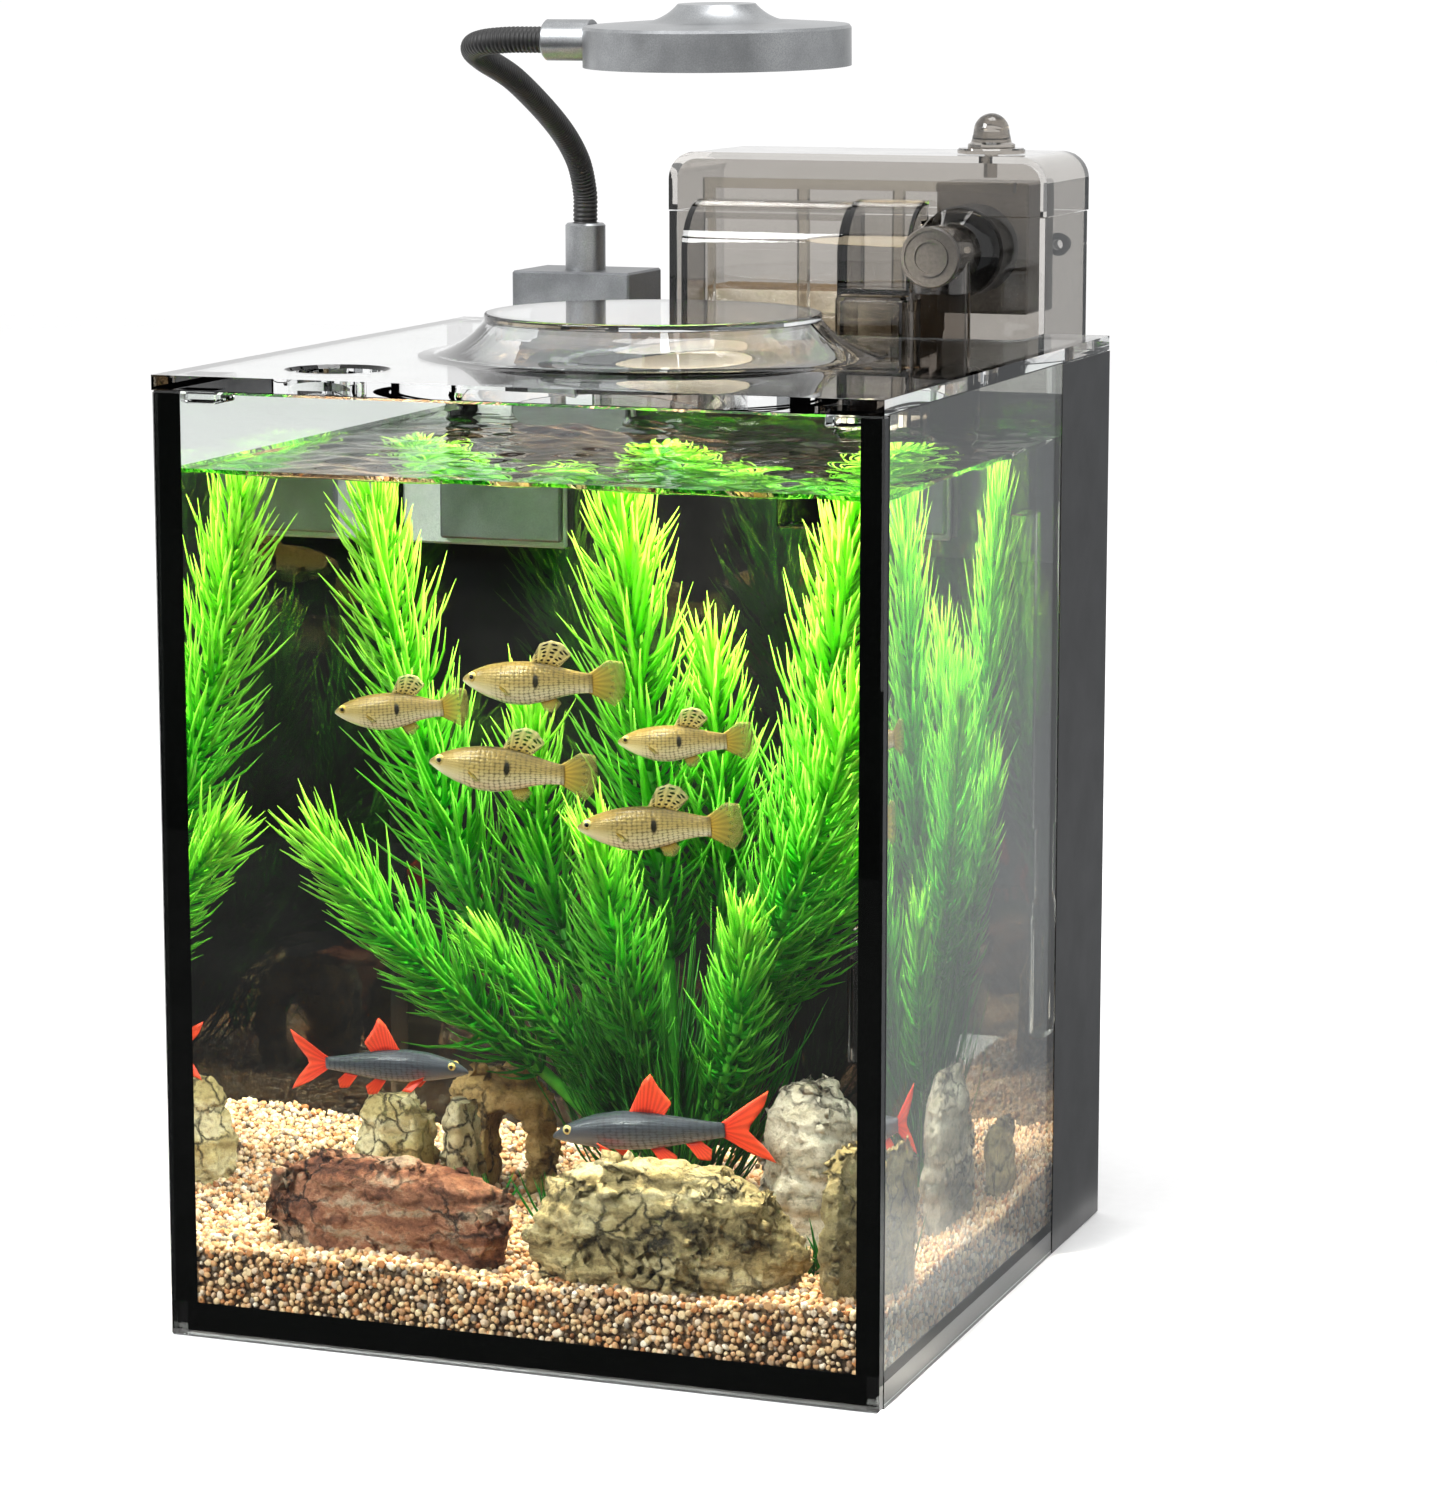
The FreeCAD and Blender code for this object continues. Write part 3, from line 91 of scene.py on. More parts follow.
def blank(name):
    """An empty material's node tree, and the material."""
    made = bpy.data.materials.new(name)
    made.use_nodes = True
    made.node_tree.nodes.clear()
    return made, made.node_tree


def close(tree, shader):
    add(tree, "OutputMaterial", {"Surface": shader})


def ramp(tree, fac, stops, interpolation="LINEAR"):
    """Colours along a value: stops are (position, hex)."""
    node = add(tree, "ValToRGB", {"Fac": fac})
    band = node.color_ramp
    band.interpolation = interpolation
    while len(band.elements) < len(stops):
        band.elements.new(0.5)
    for element, (position, text) in zip(band.elements, stops):
        element.position = position
        element.color = colour(text)
    return node.outputs["Color"]


def clear_material(name, tint, ior, roughness=0.0, shadow="#FFFFFF", bump_mm=0.0, bump_size=8.0):
    """A see-through solid. Straight shadow rays pass it, as thin clear walls let light through."""
    made, tree = blank(name)
    sockets = {"Base Color": colour(tint), "IOR": ior, "Roughness": roughness, "Transmission Weight": 1.0}
    if bump_mm:
        place = add(tree, "TexCoord").outputs["Object"]
        wave = add(tree, "TexNoise", {"Vector": place, "Scale": per_metre(bump_size), "Detail": 1.0})
        lifted = add(tree, "Bump", {"Height": wave.outputs["Fac"], "Distance": bump_mm * MM, "Strength": 1.0})
        sockets["Normal"] = lifted.outputs["Normal"]
    solid = add(tree, "BsdfPrincipled", sockets)
    passing = add(tree, "BsdfTransparent", {"Color": colour(shadow)})
    shade = add(tree, "LightPath").outputs["Is Shadow Ray"]
    mixed = add(tree, "MixShader", {"Fac": shade, 1: solid.outputs["BSDF"], 2: passing.outputs["BSDF"]})
    close(tree, mixed.outputs["Shader"])
    return made


def grained_material(name, dark, light, grain_mm, depth_mm, roughness, metallic=0.0, ior=1.5, coat=0.0):
    """A moulded, cast, blasted or woven surface: fine mottled tone, uneven gloss and a matching fine relief."""
    made, tree = blank(name)
    place = add(tree, "TexCoord").outputs["Object"]
    fine = add(tree, "TexNoise", {"Vector": place, "Scale": per_metre(grain_mm), "Detail": 4.0})
    broad = add(tree, "TexNoise", {"Vector": place, "Scale": per_metre(grain_mm * 30), "Detail": 3.0})
    tone = add(tree, "Math", {0: fine.outputs["Fac"], 1: broad.outputs["Fac"]}, operation="MULTIPLY")
    tint = ramp(tree, tone.outputs["Value"], [(0.12, dark), (0.42, light)])
    gloss = add(tree, "MapRange", {"Value": broad.outputs["Fac"], "From Min": 0.3, "From Max": 0.7,
                                   "To Min": roughness * 0.88, "To Max": min(1.0, roughness * 1.12)})
    relief = add(tree, "Bump", {"Height": fine.outputs["Fac"], "Distance": depth_mm * MM, "Strength": 1.0})
    solid = add(tree, "BsdfPrincipled", {
        "Base Color": tint, "Metallic": metallic, "Roughness": gloss.outputs["Result"], "IOR": ior,
        "Coat Weight": coat, "Normal": relief.outputs["Normal"],
    })
    close(tree, solid.outputs["BSDF"])
    return made


def rock_material(name, stops, bed_mm, crevice_shade, crack_mm=9.0):
    """Broken stone: bedded bands of colour, painted shade in the hollows of its grit, and painted shade in the cracks
    between blocks.
    """
    made, tree = blank(name)
    place = add(tree, "TexCoord").outputs["Object"]
    wander = add(tree, "TexNoise", {"Vector": place, "Scale": per_metre(14), "Detail": 6.0, "Roughness": 0.65})
    pushed = add(tree, "VectorMath", {0: wander.outputs["Color"], 1: (0.012, 0.012, 0.012)}, operation="MULTIPLY")
    moved = add(tree, "VectorMath", {0: place, 1: pushed.outputs["Vector"]}, operation="ADD")
    beds = add(tree, "Mapping", {"Vector": moved.outputs["Vector"], "Scale": (0.25, 0.25, 1.0),
                                 "Rotation": (0.18, -0.22, 0.0)})
    band = add(tree, "TexNoise", {"Vector": beds.outputs["Vector"], "Scale": per_metre(bed_mm), "Detail": 8.0,
                                  "Roughness": 0.7})
    tint = ramp(tree, band.outputs["Fac"], stops)
    # Painted shade: the cracks between blocks get the dark crevice shade colour, and the bump below cuts them in as
    # grooves.
    blocks = add(tree, "TexVoronoi", {"Vector": moved.outputs["Vector"], "Scale": per_metre(crack_mm)},
                 feature="DISTANCE_TO_EDGE")
    gap = add(tree, "MapRange", {"Value": blocks.outputs["Distance"], "From Min": 0.0, "From Max": 0.09,
                                 "To Min": 1.0, "To Max": 0.0})
    patch = add(tree, "TexNoise", {"Vector": place, "Scale": per_metre(22), "Detail": 2.0})
    where = add(tree, "MapRange", {"Value": patch.outputs["Fac"], "From Min": 0.42, "From Max": 0.58})
    painted_crevice_shade = add(tree, "Math", {0: gap.outputs["Result"], 1: where.outputs["Result"]}, operation="MULTIPLY")
    darkened = add(tree, "Mix", {"Factor": painted_crevice_shade.outputs["Value"], 6: tint, 7: colour(crevice_shade)}, data_type="RGBA")
    grit = add(tree, "TexNoise", {"Vector": place, "Scale": per_metre(1.6), "Detail": 6.0, "Roughness": 0.7})
    # Painted shade: where the grit is low, which is where the relief has its hollows, the colour is darkened.
    grit_hollow_shade = add(tree, "MapRange", {"Value": grit.outputs["Fac"], "From Min": 0.28, "From Max": 0.5,
                                    "To Min": 0.35, "To Max": 1.0})
    shaded = add(tree, "VectorMath", {0: darkened.outputs[2], "Scale": grit_hollow_shade.outputs["Result"]}, operation="SCALE")
    height = add(tree, "Math", {0: grit.outputs["Fac"], 1: band.outputs["Fac"], 2: 0.0}, operation="ADD")
    relief = add(tree, "Bump", {"Height": height.outputs["Value"], "Distance": 1.1 * MM, "Strength": 1.0})
    cut = add(tree, "Bump", {"Height": painted_crevice_shade.outputs["Value"], "Distance": -0.8 * MM, "Strength": 0.8,
                             "Normal": relief.outputs["Normal"]})
    solid = add(tree, "BsdfPrincipled", {"Base Color": shaded.outputs["Vector"], "Roughness": 0.82, "IOR": 1.5,
                                         "Normal": cut.outputs["Normal"]})
    close(tree, solid.outputs["BSDF"])
    return made


# ---- materials -----------------------------------------------------------------------------------------------------

# Float glass: clear, a trace of green, mirror-smooth. Gives the panes their bright edges and soft reflections.
FLOAT_GLASS = clear_material("float_glass", "#FAFDFB", 1.52)
# Polished acrylic sheet: clearer than glass and slightly warm, for the lid and its collar.
LID_ACRYLIC = clear_material("polished_acrylic_sheet", "#FDFEFE", 1.49, bump_mm=0.01, bump_size=30)
# The cover disc: the same acrylic, a little grey, so that it mirrors the room at a low angle.
DISC_ACRYLIC = clear_material("polished_acrylic_disc", "#F2F4F5", 1.49)
# Fresh water: clear with the faintest green.
WATER = clear_material("fresh_water", "#FBFEFB", 1.333)
# Smoke-grey SAN mouldings: grey-brown clear walls that darken where they overlap, with glossy skins.
SMOKE = clear_material("smoke_grey_san_moulding", "#D0CDC9", 1.54, 0.015, "#D6D3CF", 0.03, 14)
SMOKE_TUBE = clear_material("smoke_grey_pmma_tube", "#D0CCC8", 1.49, 0.02, "#D6D2CC", 0.02, 10)
# Below the water the same tube meets water, not air, so it bends light less.
SMOKE_TUBE_WET = clear_material("smoke_grey_pmma_tube_in_water", "#D0CCC8", 1.12, 0.02, "#D6D2CC")
SMOKE_KNOB = clear_material("smoke_grey_knob_moulding", "#A39D95", 1.54, 0.03, "#B5B0AA", 0.03, 6)
FRAME_SAN = clear_material("pale_san_frame", "#D8D2C6", 1.54, 0.04, "#E0DCD2", 0.02, 9)

# Matt black vinyl film: a fine leathery skin that greys towards grazing light.
BLACK_FILM = grained_material("black_vinyl_film", "#0B0B0C", "#151516", 0.5, 0.01, 0.32)
# Cured silicone sealant: glossy black with a tooled, faintly wavy skin.
SILICONE = grained_material("tooled_silicone_sealant", "#050706", "#0C0F0D", 1.8, 0.05, 0.22)
# Anodised aluminium, bead blasted first: a satin silver with a very fine sparkle.
HEAD_ALUMINIUM = grained_material("bead_blasted_anodised_aluminium", "#86888A", "#A6A8AA", 0.35, 0.012, 0.36, 1.0)
CLAMP_ALUMINIUM = grained_material("sand_blasted_anodised_aluminium", "#6E7073", "#85878A", 0.3, 0.02, 0.42, 1.0)
JAW_ALUMINIUM = grained_material("etched_aluminium_plate", "#B4B7B8", "#D6D8D8", 0.3, 0.02, 0.62, 1.0)
SCREW_STEEL = grained_material("turned_nickelled_steel", "#9A9B9B", "#C4C5C5", 0.3, 0.015, 0.3, 1.0)
# Moulded nitrile rubber: dull charcoal with an even fine grain.
RUBBER = grained_material("moulded_nitrile_rubber", "#141414", "#212121", 0.4, 0.02, 0.7)
# Black silicone-sleeved hose: soft sheen on close ribs.
HOSE = grained_material("ribbed_silicone_sleeve", "#060607", "#0D0D0E", 0.4, 0.02, 0.5)
BOARD = grained_material("white_solder_mask", "#E6E4DC", "#F4F2EC", 0.6, 0.01, 0.35)
ROTOR = grained_material("moulded_black_abs", "#17181A", "#26282A", 0.5, 0.02, 0.4)
CAP_SMOKE = grained_material("smoke_grey_moulded_cap", "#2E2C2A", "#474442", 0.9, 0.02, 0.42, coat=0.2)
MOTOR = grained_material("potted_epoxy_block", "#58534E", "#78726B", 0.8, 0.03, 0.35, coat=0.4)
SHAFT = grained_material("ground_alumina_ceramic", "#DEDCD4", "#F1EFE8", 0.3, 0.005, 0.3, ior=1.76)
FLOAT = grained_material("closed_cell_foam", "#C9C7BF", "#E4E2DB", 0.7, 0.08, 0.75)
FLOSS = grained_material("needled_polyester_floss", "#B9B4A6", "#E3DFD3", 0.6, 0.25, 0.95)
SPONGE = grained_material("open_cell_filter_sponge", "#6F5C43", "#A58D6B", 1.3, 0.6, 0.95)


def diffuser_material():
    """Opal acrylic with the lamp on behind it: an even warm glow, a little stronger in the middle."""
    made, tree = blank("opal_acrylic_lit")
    place = add(tree, "TexCoord").outputs["Generated"]
    centred = add(tree, "VectorMath", {0: place, 1: (0.5, 0.5, 0.5)}, operation="DISTANCE")
    glow = ramp(tree, centred.outputs["Value"], [(0.0, "#FFF4DC"), (0.62, "#FFE9C4"), (0.75, "#E9CFA2")])
    solid = add(tree, "BsdfPrincipled", {
        "Base Color": colour("#F6F0E2"), "Roughness": 0.35, "IOR": 1.49, "Emission Color": glow,
        "Emission Strength": 5.0,
    })
    close(tree, solid.outputs["BSDF"])
    return made


def grain_material(name, wet):
    """Rounded river gravel: each grain its own cream, tan, orange, brown, grey or white, with a waxy skin."""
    made, tree = blank(name)
    own = add(tree, "Attribute", attribute_name="grain").outputs["Fac"]
    place = add(tree, "TexCoord").outputs["Object"]
    tint = ramp(tree, own, [(0.0, "#8E5A32"), (0.08, "#C4844E"), (0.22, "#D9B282"), (0.42, "#E8D0A6"),
                            (0.6, "#CC9A68"), (0.74, "#F2E6D0"), (0.86, "#B0845A"), (0.94, "#8E8478"), (0.985, "#58442F")])
    mottle = add(tree, "TexNoise", {"Vector": place, "Scale": per_metre(0.8), "Detail": 3.0})
    dim = add(tree, "MapRange", {"Value": mottle.outputs["Fac"], "To Min": 0.8, "To Max": 1.15})
    shaded = add(tree, "VectorMath", {0: tint, "Scale": dim.outputs["Result"]}, operation="SCALE")
    relief = add(tree, "Bump", {"Height": mottle.outputs["Fac"], "Distance": 0.08 * MM, "Strength": 1.0})
    solid = add(tree, "BsdfPrincipled", {"Base Color": shaded.outputs["Vector"], "Roughness": wet, "IOR": 1.5,
                                         "Normal": relief.outputs["Normal"]})
    close(tree, solid.outputs["BSDF"])
    return made


def bed_material():
    """The packed gravel between and under the loose grains: shadowed cells of grain size."""
    made, tree = blank("packed_gravel")
    place = add(tree, "TexCoord").outputs["Object"]
    cells = add(tree, "TexVoronoi", {"Vector": place, "Scale": per_metre(1.9)})
    tint = ramp(tree, add(tree, "SeparateColor", {"Color": cells.outputs["Color"]}).outputs["Red"],
                [(0.0, "#6B4B30"), (0.4, "#A57F57"), (0.7, "#C7A67A"), (1.0, "#8C6A48")])
    dim = add(tree, "MapRange", {"Value": cells.outputs["Distance"], "From Max": 0.6, "To Min": 0.9, "To Max": 0.2})
    shaded = add(tree, "VectorMath", {0: tint, "Scale": dim.outputs["Result"]}, operation="SCALE")
    relief = add(tree, "Bump", {"Height": cells.outputs["Distance"], "Distance": -0.8 * MM, "Strength": 1.0})
    solid = add(tree, "BsdfPrincipled", {"Base Color": shaded.outputs["Vector"], "Roughness": 0.75,
                                         "Normal": relief.outputs["Normal"]})
    close(tree, solid.outputs["BSDF"])
    return made


def leaf_material(name, low, middle, high, tip):
    """Soft needle leaves, partly see-through. Painted light from the lamp above: deep green low down and near the stem,
    yellow-green at the lit tips high up; paler young growth towards each shoot's end is averaged in.
    """
    made, tree = blank(name)
    place = add(tree, "SeparateXYZ", {"Vector": add(tree, "TexCoord").outputs["Object"]})
    # Painted light: the colour lightens with height in the tank, from 30 to 225 mm, as if lit by the lamp above.
    lift = add(tree, "MapRange", {"Value": place.outputs["Z"], "From Min": 30 * MM, "From Max": 225 * MM})
    fresh = add(tree, "Attribute", attribute_name="fresh").outputs["Fac"]
    height_light_and_growth = add(tree, "Math", {0: lift.outputs["Result"], 1: fresh}, operation="ADD")
    mean = add(tree, "Math", {0: height_light_and_growth.outputs["Value"], 1: 0.5}, operation="MULTIPLY")
    rising = ramp(tree, mean.outputs["Value"], [(0.05, low), (0.42, middle), (0.85, high)])
    # Painted light: leaf tips are mixed towards the tip colour, more so high up, so leaf bases near the stem stay
    # darker.
    reach = add(tree, "Attribute", attribute_name="reach").outputs["Fac"]
    near_tip = add(tree, "MapRange", {"Value": reach, "From Min": 0.2, "From Max": 1.0, "To Max": 0.75})
    weight = add(tree, "Math", {0: near_tip.outputs["Result"], 1: mean.outputs["Value"]}, operation="MULTIPLY")
    tint = add(tree, "Mix", {"Factor": weight.outputs["Value"], 6: rising, 7: colour(tip)}, data_type="RGBA")
    streak = add(tree, "TexNoise", {"Vector": add(tree, "TexCoord").outputs["Object"], "Scale": per_metre(5)})
    dim = add(tree, "MapRange", {"Value": streak.outputs["Fac"], "To Min": 0.6, "To Max": 1.25})
    shaded = add(tree, "VectorMath", {0: tint.outputs[2], "Scale": dim.outputs["Result"]}, operation="SCALE")
    skin = add(tree, "BsdfPrincipled", {"Base Color": shaded.outputs["Vector"], "Roughness": 0.42, "IOR": 1.4})
    through = add(tree, "BsdfTranslucent", {"Color": shaded.outputs["Vector"]})
    mixed = add(tree, "MixShader", {"Fac": 0.4, 1: skin.outputs["BSDF"], 2: through.outputs["BSDF"]})
    close(tree, mixed.outputs["Shader"])
    return made


def scale_material(name, stops, rim, sheen, blotch):
    """Fish skin: back to belly colours, rows of overlapping scales with darker rims, and a blotch on some flanks."""
    made, tree = blank(name)
    flank = add(tree, "Attribute", attribute_name="flank").outputs["Fac"]
    along = add(tree, "Attribute", attribute_name="along").outputs["Fac"]
    tint = ramp(tree, flank, stops)
    rows = add(tree, "CombineXYZ", {"X": along, "Y": flank})
    cells = add(tree, "Mapping", {"Vector": rows.outputs["Vector"], "Scale": (34.0, 13.0, 1.0),
                                  "Rotation": (0.0, 0.0, 0.0)})
    scales = add(tree, "TexVoronoi", {"Vector": cells.outputs["Vector"], "Scale": 1.0, "Randomness": 0.25},
                 voronoi_dimensions="2D")
    edge = add(tree, "MapRange", {"Value": scales.outputs["Distance"], "From Min": 0.35, "From Max": 0.62})
    on_body = add(tree, "MapRange", {"Value": along, "From Min": 0.17, "From Max": 0.24, "To Max": 0.75})
    weight = add(tree, "Math", {0: edge.outputs["Result"], 1: on_body.outputs["Result"]}, operation="MULTIPLY")
    lined = add(tree, "Mix", {"Factor": weight.outputs["Value"], 6: tint, 7: colour(rim)}, data_type="RGBA")
    coat = lined.outputs[2]
    if blotch:
        spread = add(tree, "Mapping", {"Vector": rows.outputs["Vector"], "Location": (-4.7 * 2.1, -0.55 * 2.1, 0.0),
                                       "Scale": (10.0 * 2.1, 2.1, 1.0)})
        centre = add(tree, "VectorMath", {0: spread.outputs["Vector"]}, operation="LENGTH")
        dark = add(tree, "MapRange", {"Value": centre.outputs["Value"], "From Min": 0.28, "From Max": 0.46,
                                      "To Min": 0.98, "To Max": 0.0})
        coat = add(tree, "Mix", {"Factor": dark.outputs["Result"], 6: coat, 7: colour(blotch)},
                   data_type="RGBA").outputs[2]
    relief = add(tree, "Bump", {"Height": scales.outputs["Distance"], "Distance": -0.12 * MM, "Strength": 0.8})
    skin = add(tree, "BsdfPrincipled", {"Base Color": coat, "Roughness": 0.32, "IOR": 1.4,
                                        "Metallic": sheen, "Coat Weight": 0.5, "Normal": relief.outputs["Normal"]})
    close(tree, skin.outputs["BSDF"])
    return made


def fin_material(name, root, edge, spot, spots, clear):
    """Fish fins: thin rayed skin, partly see-through, with optional rows of dark spots."""
    made, tree = blank(name)
    reach = add(tree, "Attribute", attribute_name="reach").outputs["Fac"]
    ray = add(tree, "Attribute", attribute_name="ray").outputs["Fac"]
    tint = ramp(tree, reach, [(0.0, root), (0.9, edge)])
    wave = add(tree, "Math", {0: ray, 1: 75.0}, operation="MULTIPLY")
    stripe = add(tree, "Math", {0: wave.outputs["Value"]}, operation="SINE")
    thin = add(tree, "MapRange", {"Value": stripe.outputs["Value"], "From Min": -1.0, "To Min": 0.75, "To Max": 1.1})
    rayed = add(tree, "VectorMath", {0: tint, "Scale": thin.outputs["Result"]}, operation="SCALE")
    place = add(tree, "CombineXYZ", {"X": ray, "Y": reach})
    dots = add(tree, "TexVoronoi", {"Vector": place.outputs["Vector"], "Scale": 6.0, "Randomness": 0.4},
               voronoi_dimensions="2D")
    inside = add(tree, "MapRange", {"Value": dots.outputs["Distance"], "From Min": 0.2, "From Max": 0.34,
                                    "To Min": spots, "To Max": 0.0})
    spotted = add(tree, "Mix", {"Factor": inside.outputs["Result"], 6: rayed.outputs["Vector"], 7: colour(spot)},
                  data_type="RGBA")
    skin = add(tree, "BsdfPrincipled", {"Base Color": spotted.outputs[2], "Roughness": 0.4, "IOR": 1.38})
    passing = add(tree, "BsdfTransparent", {"Color": colour("#FFFFFF")})
    open_share = add(tree, "Math", {0: reach, 1: clear}, operation="MULTIPLY")
    mixed = add(tree, "MixShader", {"Fac": open_share.outputs["Value"], 1: skin.outputs["BSDF"],
                                    2: passing.outputs["BSDF"]})
    close(tree, mixed.outputs["Shader"])
    return made


GRAIN = grain_material("rounded_river_gravel", 0.45)
PACKED = bed_material()
NEEDLE = leaf_material("needle_leaf", "#0C7A14", "#34C81C", "#92EE2E", "#D6FC70")
GRASS = leaf_material("base_leaf", "#0B6A14", "#1CA01D", "#58CC28", "#A6EE55")
STEM = grained_material("soft_green_stem", "#2C8A1E", "#55B82E", 2.5, 0.08, 0.45)
GOLD_SKIN = scale_material("golden_scales", [(0.0, "#F2ECD8"), (0.28, "#DDD0A2"), (0.5, "#B9A264"), (0.75, "#8C763A"),
                                             (1.0, "#5E4F26")], "#4A3F1E", 0.25, "#0C0A06")
SLATE_SKIN = scale_material("slate_scales", [(0.0, "#7B7F86"), (0.3, "#54595F"), (0.6, "#3A3F47"), (1.0, "#2A2F36")],
                            "#1A1D22", 0.1, None)
GOLD_FIN = fin_material("spotted_yellow_fin", "#B89A48", "#CBBE84", "#0E0C08", 1.0, 0.5)
TAIL_FIN = fin_material("yellow_tail_fin", "#B08A2C", "#8E8A48", "#1A1712", 0.0, 0.6)
RED_FIN = fin_material("red_fin", "#D8321C", "#F0512E", "#7A1208", 0.0, 0.12)
EYE_RING = grained_material("eye_ring", "#B79A3C", "#EADFA0", 0.4, 0.01, 0.25, 0.4)
PUPIL = grained_material("eye_pupil", "#020202", "#060606", 0.5, 0.005, 0.08, coat=1.0)

# Each stone: band colours, bed size, the colour of the painted shade in its cracks, and crack size where given.
ROCKS = {
    "red_slab": rock_material("red_ironstone", [(0.3, "#38231A"), (0.42, "#774832"), (0.52, "#A36E50"),
                                                (0.6, "#B39C82"), (0.72, "#654838")], 5, "#1E120C"),
    "layered_stone": rock_material("olive_mudstone", [(0.3, "#2F2717"), (0.42, "#85754C"), (0.52, "#B8A674"),
                                                      (0.62, "#D8CA9E"), (0.74, "#76673F")], 6, "#1A150C"),
    "corner_stone": rock_material("brown_mudstone", [(0.3, "#463A24"), (0.5, "#9A885A"), (0.7, "#C2B48A")], 7,
                                  "#241C10"),
    "cream_stone": rock_material("cracked_marl", [(0.3, "#8D7C4C"), (0.46, "#CBB97E"), (0.6, "#E7DDB2"),
                                                  (0.74, "#A9965C")], 9, "#3A3018", 7),
    "beige_stone": rock_material("beige_marl", [(0.3, "#6F6448"), (0.5, "#BDAF86"), (0.7, "#DCD2B0")], 8, "#2E2616"),
    "arch_stone": rock_material("ochre_sandstone", [(0.3, "#5A431F"), (0.46, "#9B7A44"), (0.6, "#C5A56A"),
                                                    (0.74, "#7B5E30")], 8, "#241809", 8),
    "grey_stone": rock_material("grey_limestone", [(0.3, "#6B6555"), (0.46, "#A8A08A"), (0.6, "#CFC8B4"),
                                                   (0.74, "#8D8469")], 9, "#332D1F"),
    "tan_stone": rock_material("tan_limestone", [(0.3, "#6B5B3A"), (0.5, "#AE9B6C"), (0.7, "#D0C197")], 8, "#2C2413"),
}

FINISHES = {
    FLOAT_GLASS: ["front_pane", "back_pane", "left_pane", "right_pane", "base_pane"],
    SILICONE: ["corner_seals", "base_seal"],
    BLACK_FILM: ["backing_film"],
    LID_ACRYLIC: ["lid_plate", "lid_collar", "locating_blocks"],
    DISC_ACRYLIC: ["cover_disc"],
    CLAMP_ALUMINIUM: ["clamp_body"],
    JAW_ALUMINIUM: ["jaw_plate"],
    HEAD_ALUMINIUM: ["lamp_shell", "lower_ferrule", "head_ferrule"],
    RUBBER: ["jaw_rubber", "clamp_pad", "lamp_gland", "filter_gland", "rest_foot"],
    SCREW_STEEL: ["clamp_screw"],
    BOARD: ["led_board"],
    diffuser_material(): ["diffuser"],
    SMOKE: ["filter_case", "filter_cover", "spout", "valve_hood", "skimmer_box"],
    SMOKE_KNOB: ["flow_knob"],
    CAP_SMOKE: ["elbow_cap"],
    SMOKE_TUBE: ["intake_elbow"],
    SMOKE_TUBE_WET: ["intake_tube", "inner_tube", "strainer"],
    FLOAT: ["skimmer_float"],
    ROTOR: ["rotor_housing", "impeller"],
    SHAFT: ["impeller_shaft"],
    MOTOR: ["motor_block"],
    FRAME_SAN: ["media_frame"],
}
MEDIA = {"floss_pad": FLOSS, "bio_sponge": SPONGE}
for made, names in FINISHES.items():
    for name in names:
        NODES[name].data.materials.clear()
        NODES[name].data.materials.append(made)


# ---- making pieces -------------------------------------------------------------------------------------------------


def piece(name, points, faces, made, body="root", smooth=True, values=None, stands_for=()):
    """A mesh from points in millimetres, with its finish, body and per-point values."""
    mesh = bpy.data.meshes.new(name)
    mesh.from_pydata((np.asarray(points, float) * MM).tolist(), [], faces)
    mesh.polygons.foreach_set("use_smooth", [smooth] * len(mesh.polygons))
    for key, numbers in (values or {}).items():
        layer = mesh.attributes.new(key, "FLOAT", "POINT")
        layer.data.foreach_set("value", np.asarray(numbers, np.float32))
    for finish in made if isinstance(made, list) else [made]:
        mesh.materials.append(finish)
    mesh.update()
    thing = bpy.data.objects.new(name, mesh)
    bpy.context.scene.collection.objects.link(thing)
    if body:
        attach(thing, body)
    if stands_for:
        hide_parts(*stands_for)
    return thing


def applied(thing):
    """Bakes a piece's modifiers into its mesh."""
    graph = bpy.context.evaluated_depsgraph_get()
    shaped = bpy.data.meshes.new_from_object(thing.evaluated_get(graph))
    thing.modifiers.clear()
    thing.data = shaped
    return thing


def ring_faces(rings, sides, closed_start=True, closed_end=True):
    """Quads between successive rings of points, with flat ends."""
    faces = []
    for i in range(rings - 1):
        for j in range(sides):
            k = (j + 1) % sides
            faces.append((i * sides + j, i * sides + k, (i + 1) * sides + k, (i + 1) * sides + j))
    if closed_start:
        faces.append(tuple(reversed(range(sides))))
    if closed_end:
        faces.append(tuple(range((rings - 1) * sides, rings * sides)))
    return faces


def frames_along(path):
    """A tangent and two steady cross directions at each point of a path."""
    tangents = np.gradient(path, axis=0)
    tangents /= np.linalg.norm(tangents, axis=1)[:, None]
    side = np.cross(tangents[0], (0.0, 0.0, 1.0) if abs(tangents[0][2]) < 0.9 else (1.0, 0.0, 0.0))
    sides, ups = [], []
    for tangent in tangents:
        side = side - tangent * side.dot(tangent)
        side = side / np.linalg.norm(side)
        sides.append(side)
        ups.append(np.cross(tangent, side))
    return tangents, np.array(sides), np.array(ups)


def tube(path, radii, sides):
    """Points and faces of a round tube along a path with a radius at each point."""
    _, across, up = frames_along(path)
    angles = np.linspace(0, 2 * np.pi, sides, endpoint=False)
    circle = np.cos(angles)[None, :, None] * across[:, None, :] + np.sin(angles)[None, :, None] * up[:, None, :]
    points = path[:, None, :] + circle * np.asarray(radii)[:, None, None]
    return points.reshape(-1, 3), ring_faces(len(path), sides)


